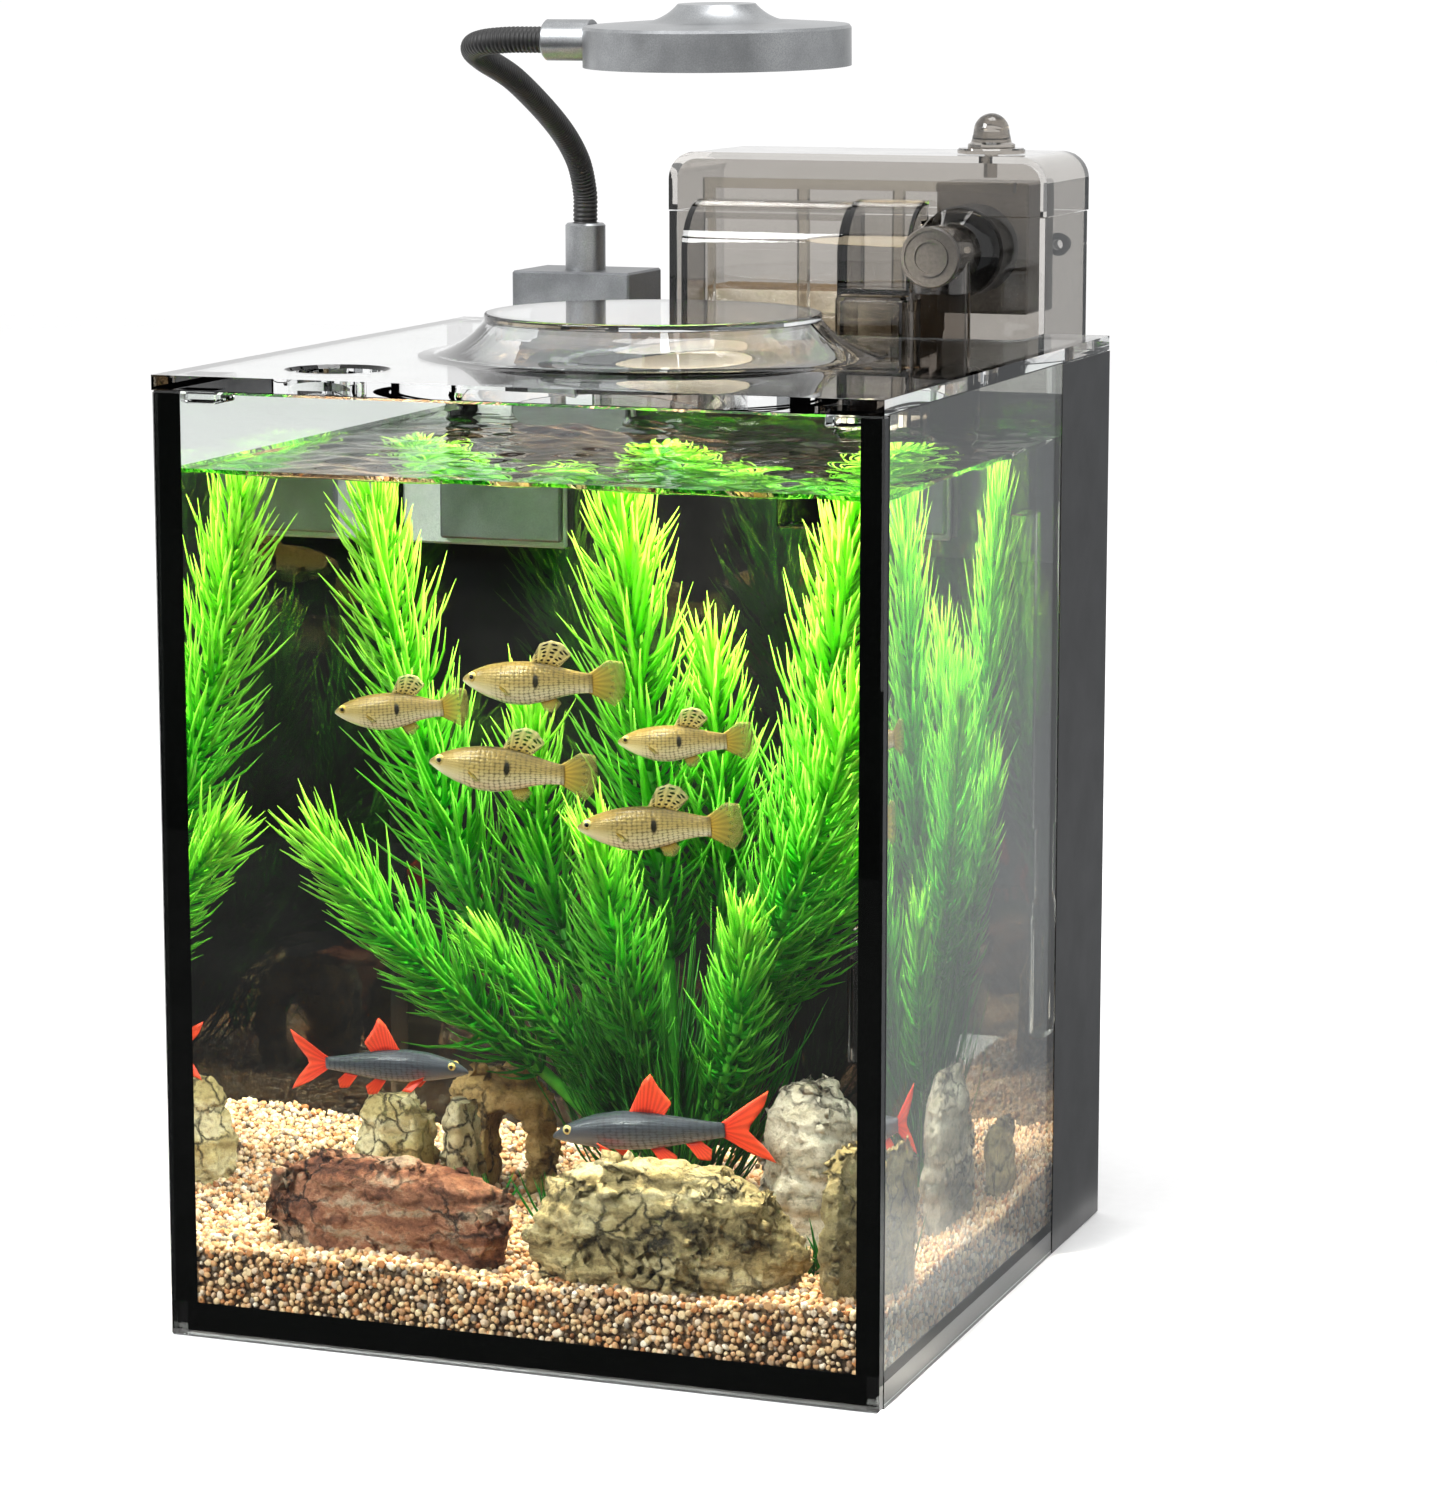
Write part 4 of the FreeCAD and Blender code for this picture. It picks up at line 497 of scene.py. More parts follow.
def curve_through(points, count):
    """A smooth path through a few points."""
    points = np.asarray(points, float)
    padded = np.vstack([2 * points[0] - points[1], points, 2 * points[-1] - points[-2]])
    spans = len(points) - 1
    result = []
    for s in np.linspace(0, spans - 1e-9, count):
        i, t = int(s), s - int(s)
        a, b, c, d = padded[i:i + 4]
        result.append(0.5 * (2 * b + (c - a) * t + (2 * a - 5 * b + 4 * c - d) * t * t
                             + (3 * b - a - 3 * c + d) * t ** 3))
    return np.array(result)


# ---- camera and studio ---------------------------------------------------------------------------------------------

LENS_MM, SENSOR_MM = 111.5, 36.0
EYE = (453.8, -1180.0, 367.25)
YAW, DIP = math.radians(20.23), math.radians(9.81)

lens = bpy.data.cameras.new("camera")
lens.lens = LENS_MM
lens.sensor_width = SENSOR_MM
lens.clip_start = 0.05
camera = bpy.data.objects.new("camera", lens)
camera.location = Vector(EYE) * MM
camera.rotation_euler = (math.pi / 2 - DIP, 0.0, YAW)
bpy.context.scene.collection.objects.link(camera)
bpy.context.scene.camera = camera
bpy.context.scene.view_settings.view_transform = "Standard"


def softbox(name, at, towards, width, height, watts, tint="#FFFFFF"):
    light = bpy.data.lights.new(name, "AREA")
    light.shape = "RECTANGLE"
    light.size, light.size_y = width, height
    light.energy = watts
    light.color = colour(tint)[:3]
    holder = bpy.data.objects.new(name, light)
    holder.location = at
    holder.rotation_euler = (Vector(towards) - Vector(at)).to_track_quat("-Z", "Y").to_euler()
    bpy.context.scene.collection.objects.link(holder)


AIM = (0.0, 0.0, 0.16)
softbox("key_softbox", (-1.0, -1.3, 1.5), AIM, 0.9, 0.9, 40)
softbox("top_softbox", (0.1, 0.1, 1.7), AIM, 0.7, 0.7, 10)

glow = bpy.data.lights.new("lamp_glow", "AREA")
glow.shape = "DISK"
glow.size = 0.062
glow.energy = 1.9
glow.spread = math.radians(110)
glow.color = colour("#FFF6E6")[:3]
glow_holder = bpy.data.objects.new("lamp_glow", glow)
glow_holder.location = ((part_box("diffuser")[0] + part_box("diffuser")[1]) / 2) - Vector((0, 0, 3.5 * MM))
bpy.context.scene.collection.objects.link(glow_holder)
glow_holder.visible_glossy = False
glow_holder.visible_transmission = False

world = bpy.data.worlds.new("pale_studio")
world.use_nodes = True
world.node_tree.nodes["Background"].inputs["Color"].default_value = colour("#FFFFFF")
world.node_tree.nodes["Background"].inputs["Strength"].default_value = 1.04
bpy.context.scene.world = world

floor_mesh = bpy.data.meshes.new("studio_floor")
FLOOR_HALF = 3.0
corners = [(-FLOOR_HALF, -FLOOR_HALF, 0), (FLOOR_HALF, -FLOOR_HALF, 0), (FLOOR_HALF, FLOOR_HALF, 0),
           (-FLOOR_HALF, FLOOR_HALF, 0)]
floor_mesh.from_pydata([(x, y, -0.0002) for x, y, _ in corners], [], [(0, 1, 2, 3)])
floor_mesh.materials.append(grained_material("white_paper_sweep", "#F3F3F3", "#F7F7F7", 4.0, 0.01, 0.85))
floor = bpy.data.objects.new("studio_floor", floor_mesh)
bpy.context.scene.collection.objects.link(floor)

# A black velvet card lies before the tank and a grey one beside it, as is usual when glass is lit for a picture. Only
# reflections see them.
CARDS = {
    "black_card": ("#030303", "#040404", [(-1.2, -0.106, 0.0008), (1.2, -0.106, 0.0008), (1.2, -0.75, 0.0008),
                                          (-1.2, -0.75, 0.0008), (1.2, -0.85, 0.2), (-1.2, -0.85, 0.2)]),
    "grey_card": ("#808284", "#848688", [(0.106, -0.1, 0.0008), (0.106, 1.5, 0.0008), (1.5, 1.5, 0.0008), (1.5, -0.1, 0.0008),
                              (0.106, 1.6, 0.3), (1.5, 1.6, 0.3)]),
}
for card_name, (dark, light, card_corners) in CARDS.items():
    card_mesh = bpy.data.meshes.new(card_name)
    fold = [(0, 1, 2, 3), (3, 2, 4, 5)] if card_name == "black_card" else [(0, 3, 2, 1), (1, 2, 5, 4)]
    card_mesh.from_pydata(card_corners, [], fold)
    card_mesh.materials.append(grained_material(card_name + "_velvet", dark, light, 1.0, 0.0, 1.0))
    card = bpy.data.objects.new(card_name, card_mesh)
    bpy.context.scene.collection.objects.link(card)
    card.visible_camera = card.visible_diffuse = card.visible_shadow = False


# ---- water ---------------------------------------------------------------------------------------------------------

INNER = [limits("left_pane")[1][0], limits("front_pane")[1][1], limits("right_pane")[0][0], limits("back_pane")[0][1]]
WATER_GAP = 0.15
WATER_LEVEL = 232.0
FLOOR_TOP = limits("base_pane")[1][2]


def make_water():
    """The body of water: flat sides just off the glass, a rippled top that climbs the glass in a thin meniscus."""
    x = np.linspace(INNER[0] + WATER_GAP, INNER[2] - WATER_GAP, 150)
    y = np.linspace(INNER[1] + WATER_GAP, INNER[3] - WATER_GAP, 150)
    gx, gy = np.meshgrid(x, y, indexing="ij")
    ripple = np.zeros_like(gx)
    for length, turn, tall, start in ((31, 0.4, 0.30, 0.0), (23, 1.3, 0.25, 1.1), (17, 2.4, 0.20, 2.3),
                                      (12, 0.9, 0.13, 0.7), (9, 2.0, 0.09, 4.0)):
        ripple += tall * np.sin(2 * np.pi * (gx * np.cos(turn) + gy * np.sin(turn)) / length + start)
    away = np.hypot(gx, gy - 90)
    ripple += 0.45 * np.exp(-away / 55) * np.sin(2 * np.pi * away / 11)
    edge = np.minimum.reduce([gx - x[0], x[-1] - gx, gy - y[0], y[-1] - gy])
    height = WATER_LEVEL + ripple * (1 - np.exp(-edge / 3.0)) + 1.7 * np.exp(-edge / 1.1)
    n, m = gx.shape
    top = np.stack([gx, gy, height], axis=-1).reshape(-1, 3)
    faces = [(i * m + j, (i + 1) * m + j, (i + 1) * m + j + 1, i * m + j + 1)
             for i in range(n - 1) for j in range(m - 1)]
    rim = [i * m for i in range(n)] + [(n - 1) * m + j for j in range(1, m)]
    rim += [i * m + m - 1 for i in range(n - 2, -1, -1)] + [j for j in range(m - 2, 0, -1)]
    base = len(top)
    low = top[rim].copy()
    low[:, 2] = FLOOR_TOP + WATER_GAP
    for i in range(len(rim)):
        k = (i + 1) % len(rim)
        faces.append((rim[i], base + i, base + k, rim[k]))
    faces.append(tuple(base + i for i in reversed(range(len(rim)))))
    body = piece("water", np.vstack([top, low]), faces, WATER)
    surface = (n - 1) * (m - 1)
    body.data.polygons.foreach_set("use_smooth", [i < surface for i in range(len(faces))])


# ---- gravel --------------------------------------------------------------------------------------------------------

BED_FRONT, BED_BACK = 23.5, 26.0


def bed_height(x, y):
    """The gravel's surface: it rises to the back and is raked unevenly."""
    slope = BED_FRONT + (BED_BACK - BED_FRONT) * (y - INNER[1]) / (INNER[3] - INNER[1])
    return slope + 1.1 * np.sin(x / 21 + 1.0) * np.cos(y / 27) + 0.7 * np.sin(x / 9 + y / 13)


def unit_pebble(level):
    shape = bmesh.new()
    bmesh.ops.create_icosphere(shape, subdivisions=level, radius=1.0)
    points = np.array([v.co[:] for v in shape.verts])
    faces = np.array([[v.index for v in f.verts] for f in shape.faces])
    shape.free()
    return points, faces


def pebbles(name, centres, radii, level):
    """Loose grains: a squashed, dented and turned pebble at each centre, each with its own tone."""
    points, faces = unit_pebble(level)
    count = len(centres)
    squash = rng.uniform(0.75, 1.2, (count, 1, 3))
    dents = rng.uniform(0.86, 1.12, (count, len(points), 1))
    turn = rng.normal(size=(count, 4))
    turn /= np.linalg.norm(turn, axis=1)[:, None]
    w, x, y, z = turn.T
    spin = np.array([[1 - 2 * (y * y + z * z), 2 * (x * y - w * z), 2 * (x * z + w * y)],
                     [2 * (x * y + w * z), 1 - 2 * (x * x + z * z), 2 * (y * z - w * x)],
                     [2 * (x * z - w * y), 2 * (y * z + w * x), 1 - 2 * (x * x + y * y)]]).transpose(2, 0, 1)
    shaped = (points[None] * squash * dents) @ spin.transpose(0, 2, 1) * radii[:, None, None]
    placed = shaped + centres[:, None, :]
    placed[..., 0] = np.clip(placed[..., 0], INNER[0] + 2 * WATER_GAP, INNER[2] - 2 * WATER_GAP)
    placed[..., 1] = np.clip(placed[..., 1], INNER[1] + 2 * WATER_GAP, INNER[3] - 2 * WATER_GAP)
    placed[..., 2] = np.maximum(placed[..., 2], FLOOR_TOP + 2 * WATER_GAP)
    all_faces = faces[None] + (np.arange(count) * len(points))[:, None, None]
    tone = np.repeat(rng.random(count), len(points))
    return piece(name, placed.reshape(-1, 3), all_faces.reshape(-1, 3).tolist(), GRAIN,
                 values={"grain": tone})


def make_gravel():
    inset = 1.6
    x = np.linspace(INNER[0] + inset, INNER[2] - inset, 60)
    y = np.linspace(INNER[1] + inset, INNER[3] - inset, 60)
    gx, gy = np.meshgrid(x, y, indexing="ij")
    n, m = gx.shape
    top = np.stack([gx, gy, bed_height(gx, gy) - 0.9], axis=-1).reshape(-1, 3)
    faces = [(i * m + j, (i + 1) * m + j, (i + 1) * m + j + 1, i * m + j + 1)
             for i in range(n - 1) for j in range(m - 1)]
    rim = [i * m for i in range(n)] + [(n - 1) * m + j for j in range(1, m)]
    rim += [i * m + m - 1 for i in range(n - 2, -1, -1)] + [j for j in range(m - 2, 0, -1)]
    low = top[rim].copy()
    low[:, 2] = FLOOR_TOP + 0.4
    base = len(top)
    for i in range(len(rim)):
        k = (i + 1) % len(rim)
        faces.append((rim[i], base + i, base + k, rim[k]))
    faces.append(tuple(base + i for i in reversed(range(len(rim)))))
    piece("gravel_core", np.vstack([top, low]), faces, PACKED, stands_for=["gravel_bed"])

    grain = 1.05
    pitch = 1.95
    for part, (y0, y1) in {"front": (INNER[1], -68.0), "near": (-68.0, -35.0), "middle": (-35.0, 30.0), "far": (30.0, INNER[3])}.items():
        columns = np.arange(INNER[0] + 1, INNER[2] - 1, pitch)
        rows = np.arange(y0 + 1, y1 - 0.5, pitch)
        cx, cy = (a.ravel() for a in np.meshgrid(columns, rows, indexing="ij"))
        cx = cx + rng.uniform(-0.8, 0.8, cx.shape)
        cy = cy + rng.uniform(-0.8, 0.8, cy.shape)
        cz = bed_height(cx, cy) + rng.uniform(-0.9, 0.5, cx.shape)
        radii = grain * rng.uniform(0.65, 1.25, cx.shape)
        pebbles("gravel_top_" + part, np.stack([cx, cy, cz], axis=-1), radii, 2 if part == "front" else 1)
    for part, axis, face, sign in (("front", 1, INNER[1], 1), ("right", 0, INNER[2], -1), ("left", 0, INNER[0], 1)):
        span = np.arange(INNER[0] + 1, INNER[2] - 1, 1.75) if axis == 1 else np.arange(INNER[1] + 1, INNER[3] - 1, 1.75)
        heights = np.arange(FLOOR_TOP + 1, BED_BACK, 1.75)
        along, up = (a.ravel() for a in np.meshgrid(span, heights, indexing="ij"))
        along = along + rng.uniform(-0.7, 0.7, along.shape)
        up = up + rng.uniform(-0.7, 0.7, up.shape)
        off = face + sign * rng.uniform(0.7, 1.3, along.shape)
        place = np.stack([along, off, up] if axis == 1 else [off, along, up], axis=-1)
        keep = place[:, 2] < bed_height(place[:, 0], place[:, 1]) + 0.3
        radii = grain * rng.uniform(0.55, 1.1, keep.sum())
        pebbles("gravel_at_" + part, place[keep], radii, 1 if part == "left" else 2)


# ---- stones --------------------------------------------------------------------------------------------------------


def make_stone(name, seed, bedding, rough):
    """A stone's broken surface, carved out of its plain CAD solid."""
    source = NODES[name].data
    thing = bpy.data.objects.new(name + "_rock", source.copy())
    bpy.context.scene.collection.objects.link(thing)
    remesh = thing.modifiers.new("even", "REMESH")
    remesh.mode = "VOXEL"
    remesh.voxel_size = 1.0 * MM
    applied(thing)
    mesh = thing.data
    mesh.polygons.foreach_set("use_smooth", [True] * len(mesh.polygons))
    offset = Vector((seed * 3.1, seed * 1.7, seed * 2.3))
    middle = sum(limits(name)) / 2
    for vertex in mesh.vertices:
        at = vertex.co / MM
        big = noise.noise(at / 17 + offset)
        mid = noise.noise(at / 7 + offset)
        small = noise.fractal(at / 3.0 + offset, 1.0, 2.0, 4)
        near, second = noise.voronoi(at / 10 + 0.25 * Vector((big, mid, small)) + offset)[0][:2]
        split = min(1.0, (second - near) / 0.2) - 1.0
        tilted = at.z + 0.16 * (at.x - middle[0]) + 2.5 * big
        bed, within = divmod(tilted / bedding, 1.0)
        ledge = noise.noise(Vector((bed * 7.3 + seed, at.x / 22, at.y / 22)))
        seam = min(1.0, min(within, 1 - within) / 0.16) - 1.0
        push = 1.9 * big + 1.2 * mid + 0.6 * small + rough * (1.5 * split + 2.4 * ledge + 1.3 * seam)
        vertex.co += vertex.normal * (push - 0.3) * MM
    smooth = thing.modifiers.new("soften", "SMOOTH")
    smooth.factor = 0.5
    smooth.iterations = 1
    applied(thing)
    thing.data.materials.clear()
    thing.data.materials.append(ROCKS[name])
    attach(thing, "root")
    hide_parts(name)


def make_media(name, pores, depth_mm):
    """A cut block of foam or matted fibre: rounded edges, a slack outline and open pores, inside its CAD solid."""
    thing = bpy.data.objects.new(name + "_cut", NODES[name].data.copy())
    bpy.context.scene.collection.objects.link(thing)
    remesh = thing.modifiers.new("even", "REMESH")
    remesh.mode = "VOXEL"
    remesh.voxel_size = 0.7 * MM
    rounded = thing.modifiers.new("rounded", "SMOOTH")
    rounded.factor = 0.5
    rounded.iterations = 6
    applied(thing)
    mesh = thing.data
    mesh.polygons.foreach_set("use_smooth", [True] * len(mesh.polygons))
    low, high = limits(name)
    for vertex in mesh.vertices:
        at = vertex.co / MM
        broad = noise.noise(at / 14) * 0.5 + 0.5
        near, second = noise.voronoi(at / pores)[0][:2]
        pit = max(0.0, min(1.0, (second - near) / 0.5))
        fibre = noise.noise(at / 1.1) * 0.5 + 0.5
        vertex.co -= vertex.normal * (depth_mm * (0.45 * broad + 0.7 * pit + 0.35 * fibre)) * MM
        for axis in range(3):
            vertex.co[axis] = min(max(vertex.co[axis], low[axis] * MM), high[axis] * MM)
    thing.data.materials.clear()
    thing.data.materials.append(MEDIA[name])
    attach(thing, "root")
    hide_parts(name)


# ---- plants --------------------------------------------------------------------------------------------------------

CROWN = np.array([12.0, 18.0, 27.0])
LEAF_SIDES = 3


def leaves(bases, outs, ups, lengths, width, rings=5):
    """Needle leaves: tapered, bowed from their out direction towards their up direction."""
    count = len(bases)
    steps = np.linspace(0, 1, rings)
    bend = 0.42
    path = (bases[:, None, :] + lengths[:, None, None] * (outs[:, None, :] * (steps - 0.25 * steps ** 2)[None, :, None]
            + ups[:, None, :] * (bend * steps ** 2)[None, :, None]))
    tangent = np.gradient(path, axis=1)
    tangent /= np.linalg.norm(tangent, axis=2)[..., None]
    across = np.cross(tangent, ups[:, None, :])
    across /= np.maximum(np.linalg.norm(across, axis=2)[..., None], 1e-6)
    over = np.cross(across, tangent)
    taper = width * np.array([0.75, 1.0, 0.95, 0.7, 0.1])[None, :, None, None]
    angles = np.linspace(0, 2 * np.pi, LEAF_SIDES, endpoint=False) + np.pi / 2
    circle = (np.cos(angles)[None, None, :, None] * across[:, :, None, :]
              + 0.6 * np.sin(angles)[None, None, :, None] * over[:, :, None, :])
    points = path[:, :, None, :] + circle * taper
    unit = np.array([(i * LEAF_SIDES + j, i * LEAF_SIDES + (j + 1) % LEAF_SIDES,
                      (i + 1) * LEAF_SIDES + (j + 1) % LEAF_SIDES, (i + 1) * LEAF_SIDES + j)
                     for i in range(rings - 1) for j in range(LEAF_SIDES)])
    faces = unit[None] + (np.arange(count) * rings * LEAF_SIDES)[:, None, None]
    caps = np.array([(2, 1, 0), tuple((rings - 1) * LEAF_SIDES + j for j in range(3))])
    ends = caps[None] + (np.arange(count) * rings * LEAF_SIDES)[:, None, None]
    reach = np.broadcast_to(steps[None, :, None], points.shape[:3])
    limit_low = np.array([INNER[0] + 0.5, INNER[1] + 0.5, FLOOR_TOP])
    limit_high = np.array([INNER[2] - 0.5, INNER[3] - 0.5, WATER_LEVEL - 3])
    points = np.clip(points.reshape(-1, 3), limit_low, limit_high)
    return points, faces.reshape(-1, 4).tolist() + ends.reshape(-1, 3).tolist(), reach.reshape(-1)


def make_plume(name, route, leafy_from, leaf_mm, stands_for=(), spacing=3.3, per_ring=9):
    """A leafy shoot: needles in close whorls up a stem, shorter and steeper at the tip."""
    path = curve_through(route, 200)
    tangents, across, up = frames_along(path)
    gone = np.concatenate([[0], np.cumsum(np.linalg.norm(np.diff(path, axis=0), axis=1))])
    start = leafy_from * gone[-1]
    bases, outs, ups, lengths, fresh = [], [], [], [], []
    for k, along in enumerate(np.arange(start, gone[-1], spacing)):
        i = int(np.searchsorted(gone, along))
        near = (along - start) / (gone[-1] - start)
        for j in range(per_ring):
            angle = 2 * np.pi * (j + 0.5 * (k % 2)) / per_ring + rng.uniform(-0.25, 0.25)
            radial = np.cos(angle) * across[i] + np.sin(angle) * up[i]
            steep = np.radians(rng.uniform(8, 38) + 34 * near ** 3)
            out = radial * np.cos(steep) + tangents[i] * np.sin(steep)
            bases.append(path[i] + radial * 0.5)
            outs.append(out)
            ups.append(tangents[i] + rng.normal(0, 0.22, 3) + (0, 0, 0.25))
            full = leaf_mm * (0.55 + 0.45 * min(1.0, near * 5)) * (1 - 0.35 * near ** 2)
            lengths.append(full * rng.uniform(0.7, 1.15))
            fresh.append(near ** 1.5)
    points, faces, reach = leaves(np.array(bases), np.array(outs), np.array(ups), np.array(lengths), 0.92)
    young = np.repeat(fresh, len(reach) // len(fresh))
    return piece(name, points, faces, NEEDLE, values={"reach": reach, "fresh": young},
                 stands_for=stands_for)


SHOOTS = {
    "needles_left": ([CROWN, (-22, 19, 62), (-47, 18, 107), (-66, 16, 165), (-76, 15, 217)], 0.34, 27, "plume_left"),
    "needles_centre": ([CROWN, (10, 20, 90), (4, 19, 150), (-4, 18, 219)], 0.34, 29, "plume_centre"),
    "needles_right": ([CROWN, (26, 21, 70), (41, 25, 111), (52, 33, 165), (58, 37, 216)], 0.34, 27, "plume_right"),
    "needles_low": ([CROWN, (-20, 8, 58), (-50, -8, 88), (-80, -22, 124)], 0.36, 24, "plume_low"),
    "needles_front": ([CROWN, (30, 12, 76), (52, 2, 120), (72, -9, 172)], 0.36, 25, "plume_front"),
    "needles_middle": ([CROWN, (10, 4, 60), (4, -4, 92), (-4, -6, 128)], 0.4, 22, None),
    "needles_side": ([CROWN, (36, 24, 80), (58, 20, 112), (76, 16, 142)], 0.4, 21, None),
    "needles_inner": ([CROWN, (-8, 20, 70), (-26, 22, 112), (-32, 22, 158)], 0.45, 23, None),
    "needles_upper": ([CROWN, (22, 22, 80), (24, 26, 130), (20, 27, 176)], 0.5, 23, None),
    "needles_short": ([CROWN, (-2, 12, 52), (-22, 6, 78), (-42, 6, 96)], 0.35, 18, None),
    "needles_near": ([CROWN, (26, 6, 52), (36, -6, 78), (40, -12, 108)], 0.35, 18, None),
}


def make_plants():
    stems, stem_faces = [], []
    for name, (route, leafy_from, leaf_mm, node) in SHOOTS.items():
        make_plume(name, route, leafy_from, leaf_mm, [node] if node else [])
        path = curve_through(route, 70)
        radii = np.interp(np.linspace(0, 1, 70), [0, 0.5, 1], [2.3, 1.6, 0.5])
        points, faces = tube(path, radii, 10)
        offset = sum(len(p) for p in stems)
        stems.append(points)
        stem_faces += [tuple(v + offset for v in f) for f in faces]
    piece("plant_stalks", np.vstack(stems), stem_faces, STEM, stands_for=["plant_stems"])

    count = 420
    angles = rng.uniform(0, 2 * np.pi, count)
    spread = np.sqrt(rng.random(count)) * 17
    bases = CROWN + np.stack([np.cos(angles) * spread * 1.25, np.sin(angles) * spread, rng.uniform(0, 38, count)], axis=-1)
    lean = rng.uniform(0.35, 1.0, count)
    outs = np.stack([np.cos(angles) * lean, np.sin(angles) * lean, np.full(count, 0.75)], axis=-1)
    outs /= np.linalg.norm(outs, axis=1)[:, None]
    ups = np.tile([0.0, 0.0, 1.0], (count, 1)) * rng.uniform(0.3, 1.0, count)[:, None]
    ups += rng.normal(0, 0.2, ups.shape)
    points, faces, reach = leaves(bases, outs, ups, rng.uniform(22, 48, count), 0.55)
    piece("base_leaves", points, faces, GRASS, values={"reach": reach})

    count = 150
    spots = np.array([(2, -38), (-10, -30), (26, -34), (48, -40), (-30, -30), (70, -52)])
    chosen = spots[rng.integers(0, len(spots), count)] + rng.normal(0, 2.0, (count, 2))
    bases = np.column_stack([chosen, bed_height(chosen[:, 0], chosen[:, 1])])
    outs = np.column_stack([rng.normal(0, 0.5, (count, 2)), np.ones(count)])
    outs /= np.linalg.norm(outs, axis=1)[:, None]
    ups = np.tile([0.0, 0.0, 0.6], (count, 1)) + rng.normal(0, 0.3, (count, 3))
    points, faces, reach = leaves(bases, outs, ups, rng.uniform(7, 17, count), 0.6)
    piece("tuft_leaves", points, faces, GRASS, values={"reach": reach})


# ---- fish ----------------------------------------------------------------------------------------------------------

# Shapes in lengths of the fish. Body: (place along, top, bottom, half width). Fins: base start and end, then the edge.
LIVEBEARER = {
    "body": [(0.0, -0.006, -0.024, 0.004), (0.03, 0.022, -0.046, 0.024), (0.08, 0.050, -0.074, 0.043),
             (0.16, 0.080, -0.108, 0.060), (0.28, 0.104, -0.142, 0.068), (0.40, 0.112, -0.144, 0.064),
             (0.52, 0.104, -0.114, 0.050), (0.62, 0.084, -0.082, 0.036), (0.72, 0.064, -0.060, 0.024),
             (0.80, 0.056, -0.054, 0.012)],
    "fins": [((0.42, 0.106), (0.60, 0.086), [(0.485, 0.216), (0.55, 0.240), (0.62, 0.224), (0.675, 0.160)], 0),
             ((0.48, -0.120), (0.58, -0.090), [(0.51, -0.172), (0.57, -0.178), (0.61, -0.125)], 1),
             ((0.78, 0.060), (0.78, -0.058), [(0.89, 0.138), (0.985, 0.135), (1.0, 0.03), (0.99, -0.06),
                                              (0.93, -0.128)], 1)],
    "eye": (0.068, 0.008, 0.029), "side_fin": (0.24, -0.03, 0.09, 1),
}
SHARKMINNOW = {
    "body": [(0.0, -0.020, -0.034, 0.004), (0.04, 0.014, -0.046, 0.026), (0.10, 0.040, -0.058, 0.044),
             (0.20, 0.070, -0.072, 0.056), (0.32, 0.086, -0.082, 0.060), (0.45, 0.080, -0.078, 0.052),
             (0.58, 0.060, -0.060, 0.038), (0.70, 0.040, -0.042, 0.024), (0.78, 0.030, -0.032, 0.014)],
    "fins": [((0.36, 0.080), (0.52, 0.066), [(0.44, 0.215), (0.475, 0.245), (0.50, 0.190), (0.555, 0.115)], 0),
             ((0.44, -0.074), (0.50, -0.068), [(0.50, -0.150), (0.55, -0.158), (0.56, -0.110)], 0),
             ((0.60, -0.056), (0.67, -0.046), [(0.66, -0.125), (0.71, -0.130), (0.715, -0.085)], 0),
             ((0.765, 0.030), (0.765, -0.030), [(0.88, 0.105), (0.985, 0.165), (0.955, 0.09), (0.875, 0.0),
                                                (0.95, -0.085), (0.99, -0.150), (0.88, -0.105)], 0)],
    "eye": (0.078, 0.006, 0.021), "side_fin": (0.22, -0.052, 0.12, 0),
}


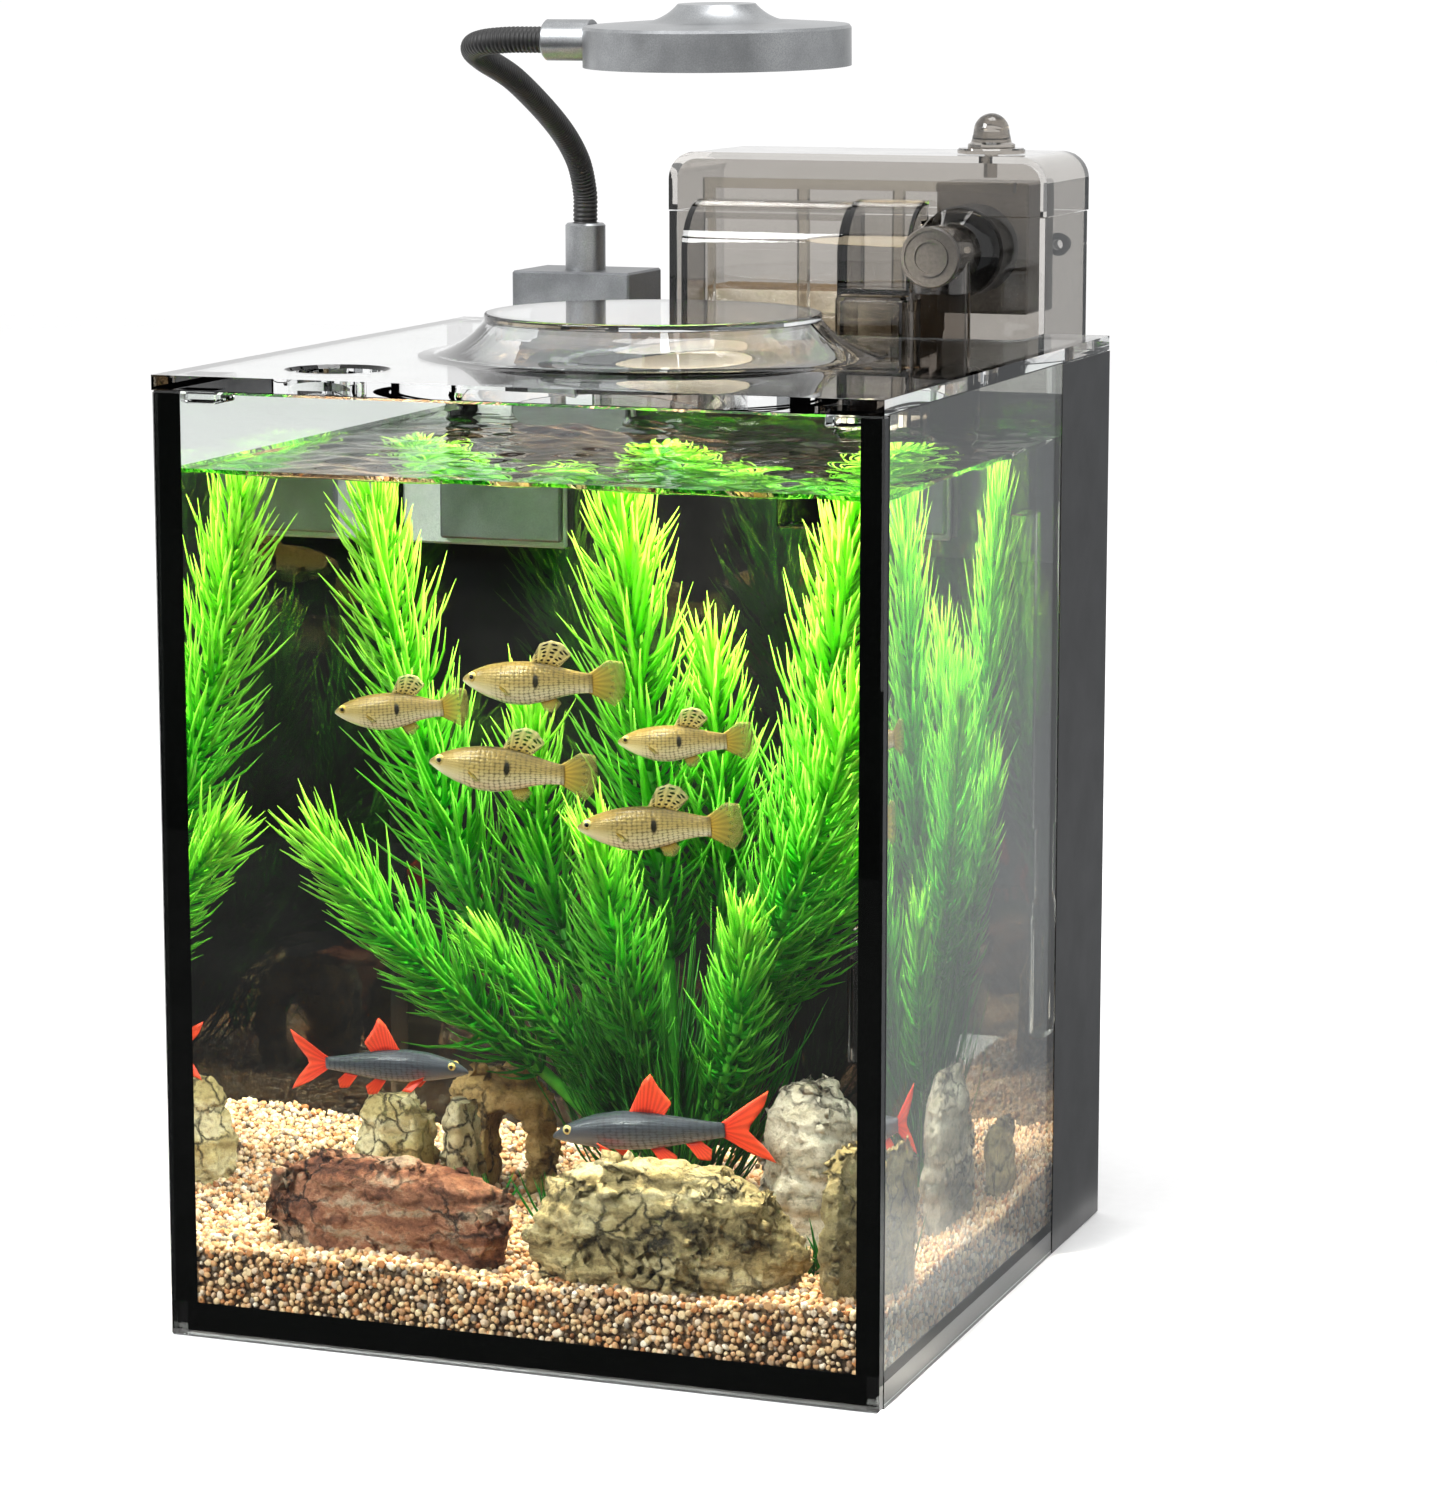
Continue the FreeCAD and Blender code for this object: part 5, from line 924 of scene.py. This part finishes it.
def make_fish(name, shape, nose, tail, skin, fins, bow=0.02):
    """A fish between its nose and its tail's end, with its body bowed a little sideways."""
    stations = 44
    sides = 22
    table = np.array(shape["body"])
    s = np.linspace(0, 1, stations) ** 1.15 * table[-1, 0]
    top, bottom, half = (np.interp(s, table[:, 0], table[:, k]) for k in (1, 2, 3))
    for line in (top, bottom, half):
        for _ in range(3):
            line[1:-1] = 0.25 * line[:-2] + 0.5 * line[1:-1] + 0.25 * line[2:]
    points, faces, part = [], [], []
    values = {"along": [], "flank": [], "reach": [], "ray": []}

    def put(new_points, new_faces, index, **numbers):
        start = len(points)
        points.extend(new_points)
        faces.extend(tuple(v + start for v in f) for f in new_faces)
        part.extend([index] * len(new_faces))
        for key in values:
            values[key].extend(numbers.get(key, [0.0] * len(new_points)))

    ring, along, flank = [], [], []
    for i in range(stations):
        for j in range(sides):
            angle = 2 * math.pi * j / sides
            up = math.sin(angle)
            middle, tall = (top[i] + bottom[i]) / 2, (top[i] - bottom[i]) / 2
            full = half[i] * math.copysign(abs(math.cos(angle)) ** 0.85, math.cos(angle))
            ring.append((s[i], full, middle + tall * up))
            along.append(s[i])
            flank.append(0.5 + 0.5 * up)
    put(ring, ring_faces(stations, sides), 0, along=along, flank=flank)

    def sheet_of(base, edge, index, lift=(0.0, 0.0), thick=0.0028, side=0.0):
        steps, rays = 6, 26
        t = np.linspace(0, 1, rays)
        inner = np.outer(1 - t, base[0]) + np.outer(t, base[1])
        line = np.array([base[0], *edge, base[1]])
        gaps = np.concatenate([[0], np.cumsum(np.linalg.norm(np.diff(line, axis=0), axis=1))])
        outer = np.column_stack([np.interp(t * gaps[-1], gaps, line[:, k]) for k in (0, 1)])
        grid, reach, ray = [], [], []
        for face_side in (-1, 1):
            for k in range(steps):
                r = k / (steps - 1)
                for i in range(rays):
                    x, z = inner[i] * (1 - r) + outer[i] * r
                    wave = 0.008 * r * math.sin(7 * t[i] + 2) + side * r
                    grid.append((x, lift[0] + wave + face_side * thick * (1 - 0.75 * r), z + lift[1]))
                    reach.append(r)
                    ray.append(t[i])
        half_count = steps * rays
        quads = []
        for k in range(steps - 1):
            for i in range(rays - 1):
                a, b, c, d = k * rays + i, k * rays + i + 1, (k + 1) * rays + i + 1, (k + 1) * rays + i
                quads.append((a, b, c, d))
                quads.append((d + half_count, c + half_count, b + half_count, a + half_count))
        border = [i for i in range(rays)] + [k * rays + rays - 1 for k in range(1, steps)]
        border += [(steps - 1) * rays + i for i in range(rays - 2, -1, -1)] + [k * rays for k in range(steps - 2, 0, -1)]
        for i, a in enumerate(border):
            b = border[(i + 1) % len(border)]
            quads.append((b, a, a + half_count, b + half_count))
        put(grid, quads, index, reach=reach, ray=ray)

    for start, end, edge, kind in shape["fins"]:
        sheet_of((start, end), edge, 1 + kind)
    fx, fz, size, kind = shape["side_fin"]
    width = float(np.interp(fx, s, half))
    for side in (-1, 1):
        edge = [(fx + size * 0.6, fz - size * 0.15), (fx + size, fz - size * 0.55), (fx + size * 0.55, fz - size * 0.6)]
        sheet_of(((fx, fz + 0.008), (fx + 0.01, fz - 0.014)), edge, 1 + kind, lift=(side * width * 0.96, 0.0),
                 side=side * 0.03)
    ex, ez, size = shape["eye"]
    width = float(np.interp(ex, s, half))
    ball, ball_faces = unit_pebble(3)
    for side in (-1, 1):
        centre = np.array([ex, side * width * 0.9, ez])
        put([tuple(centre + p * (size, size * 0.55, size)) for p in ball], ball_faces.tolist(), 3)
        centre = centre + (0.0, side * size * 0.24, 0.0)
        put([tuple(centre + p * (size * 0.58, size * 0.42, size * 0.58)) for p in ball], ball_faces.tolist(), 4)

    nose, tail = np.array(nose, float), np.array(tail, float)
    length = np.linalg.norm(tail - nose)
    ahead = (tail - nose) / length
    over = np.array([0.0, 0.0, 1.0]) - ahead * ahead[2]
    over /= np.linalg.norm(over)
    beside = np.cross(over, ahead)
    local = np.array(points)
    swing = bow * np.sin(np.pi * 1.15 * local[:, 0] ** 1.2)
    placed = nose + length * (local[:, :1] * ahead + (local[:, 1] + swing)[:, None] * beside + local[:, 2:] * over)
    thing = piece(name, placed, faces, [skin, fins[0], fins[1], EYE_RING, PUPIL], values=values)
    thing.data.polygons.foreach_set("material_index", part)
    return thing


SHOAL = [((-70.2, -38, 164.6), (-30.7, -38, 167.4)), ((-32.1, -40, 175.9), (14.3, -40, 176.2)),
         ((-39.4, -48, 154.3), (8.7, -48, 151.6)), ((10.3, -34, 160.6), (48.6, -34, 162.4)),
         ((-0.1, -38, 137.6), (46.9, -38, 140.1))]
BOTTOM_PAIR = [((-30.0, -45, 70.3), (-83.3, -45, 67.8)), ((-10.8, -27, 51.6), (53.0, -27, 57.4))]


# ---- lamp hose -----------------------------------------------------------------------------------------------------

FOOT, HEAD_END = np.array([-61.0, 103.0, 290.55]), np.array([-37.85, 7.5, 342.2])


def make_hose():
    """The ribbed sleeve, in two lengths."""
    base_top = limits("lower_ferrule")[1][2] - 4.5
    head_start = limits("head_ferrule")[0][0] + 4.5
    route = [(FOOT[0], FOOT[1], base_top), (FOOT[0], FOOT[1], base_top + 7), (-61.0, 102.5, 296.5),
             (-61.0, 96.4, 306.2), (-61.0, 80.1, 316.9), (-61.0, 50.5, 329.8), (-61.0, 27.0, 336.5),
             (-59.2, 16.0, 339.6), (-53.5, 9.6, 341.3), (-45.5, 7.6, 342.1), (HEAD_END[0], 7.5, 342.2),
             (head_start, 7.5, 342.2)]
    smooth = curve_through(route, 900)
    gone = np.concatenate([[0], np.cumsum(np.linalg.norm(np.diff(smooth, axis=0), axis=1))])
    rib_mm, per_rib = 1.25, 6
    count = int(gone[-1] / rib_mm * per_rib)
    even = np.linspace(0, gone[-1], count)
    path = np.column_stack([np.interp(even, gone, smooth[:, k]) for k in range(3)])
    radii = 3.28 + 0.34 * np.abs(np.sin(np.pi * even / rib_mm)) ** 0.7
    half = int(count * 0.55)
    points, faces = tube(path[:half], radii[:half], 28)
    lower = piece("hose_lower", points, faces, HOSE, body=None, stands_for=["gooseneck"])
    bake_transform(lower)
    points, faces = tube(path[half - 1:], radii[half - 1:], 28)
    upper = piece("hose_upper", points, faces, HOSE, body=None)
    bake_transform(upper)


# ---- all together --------------------------------------------------------------------------------------------------

make_hose()
make_water()
make_gravel()
for number, stone_name in enumerate(ROCKS):
    make_stone(stone_name, number + 1, 6.5 if "slab" in stone_name or "layered" in stone_name else 11.0,
               1.0 if "layered" in stone_name else 0.7)
make_media("bio_sponge", 2.2, 0.9)
make_media("floss_pad", 1.4, 0.6)
make_plants()
for number, (nose, tail) in enumerate(SHOAL):
    make_fish(f"golden_fish_{number + 1}", LIVEBEARER, nose, tail, GOLD_SKIN, (GOLD_FIN, TAIL_FIN),
              0.02 * (-1) ** number)
for number, (nose, tail) in enumerate(BOTTOM_PAIR):
    make_fish(f"red_finned_fish_{number + 1}", SHARKMINNOW, nose, tail, SLATE_SKIN, (RED_FIN, RED_FIN),
              0.03 * (-1) ** number)
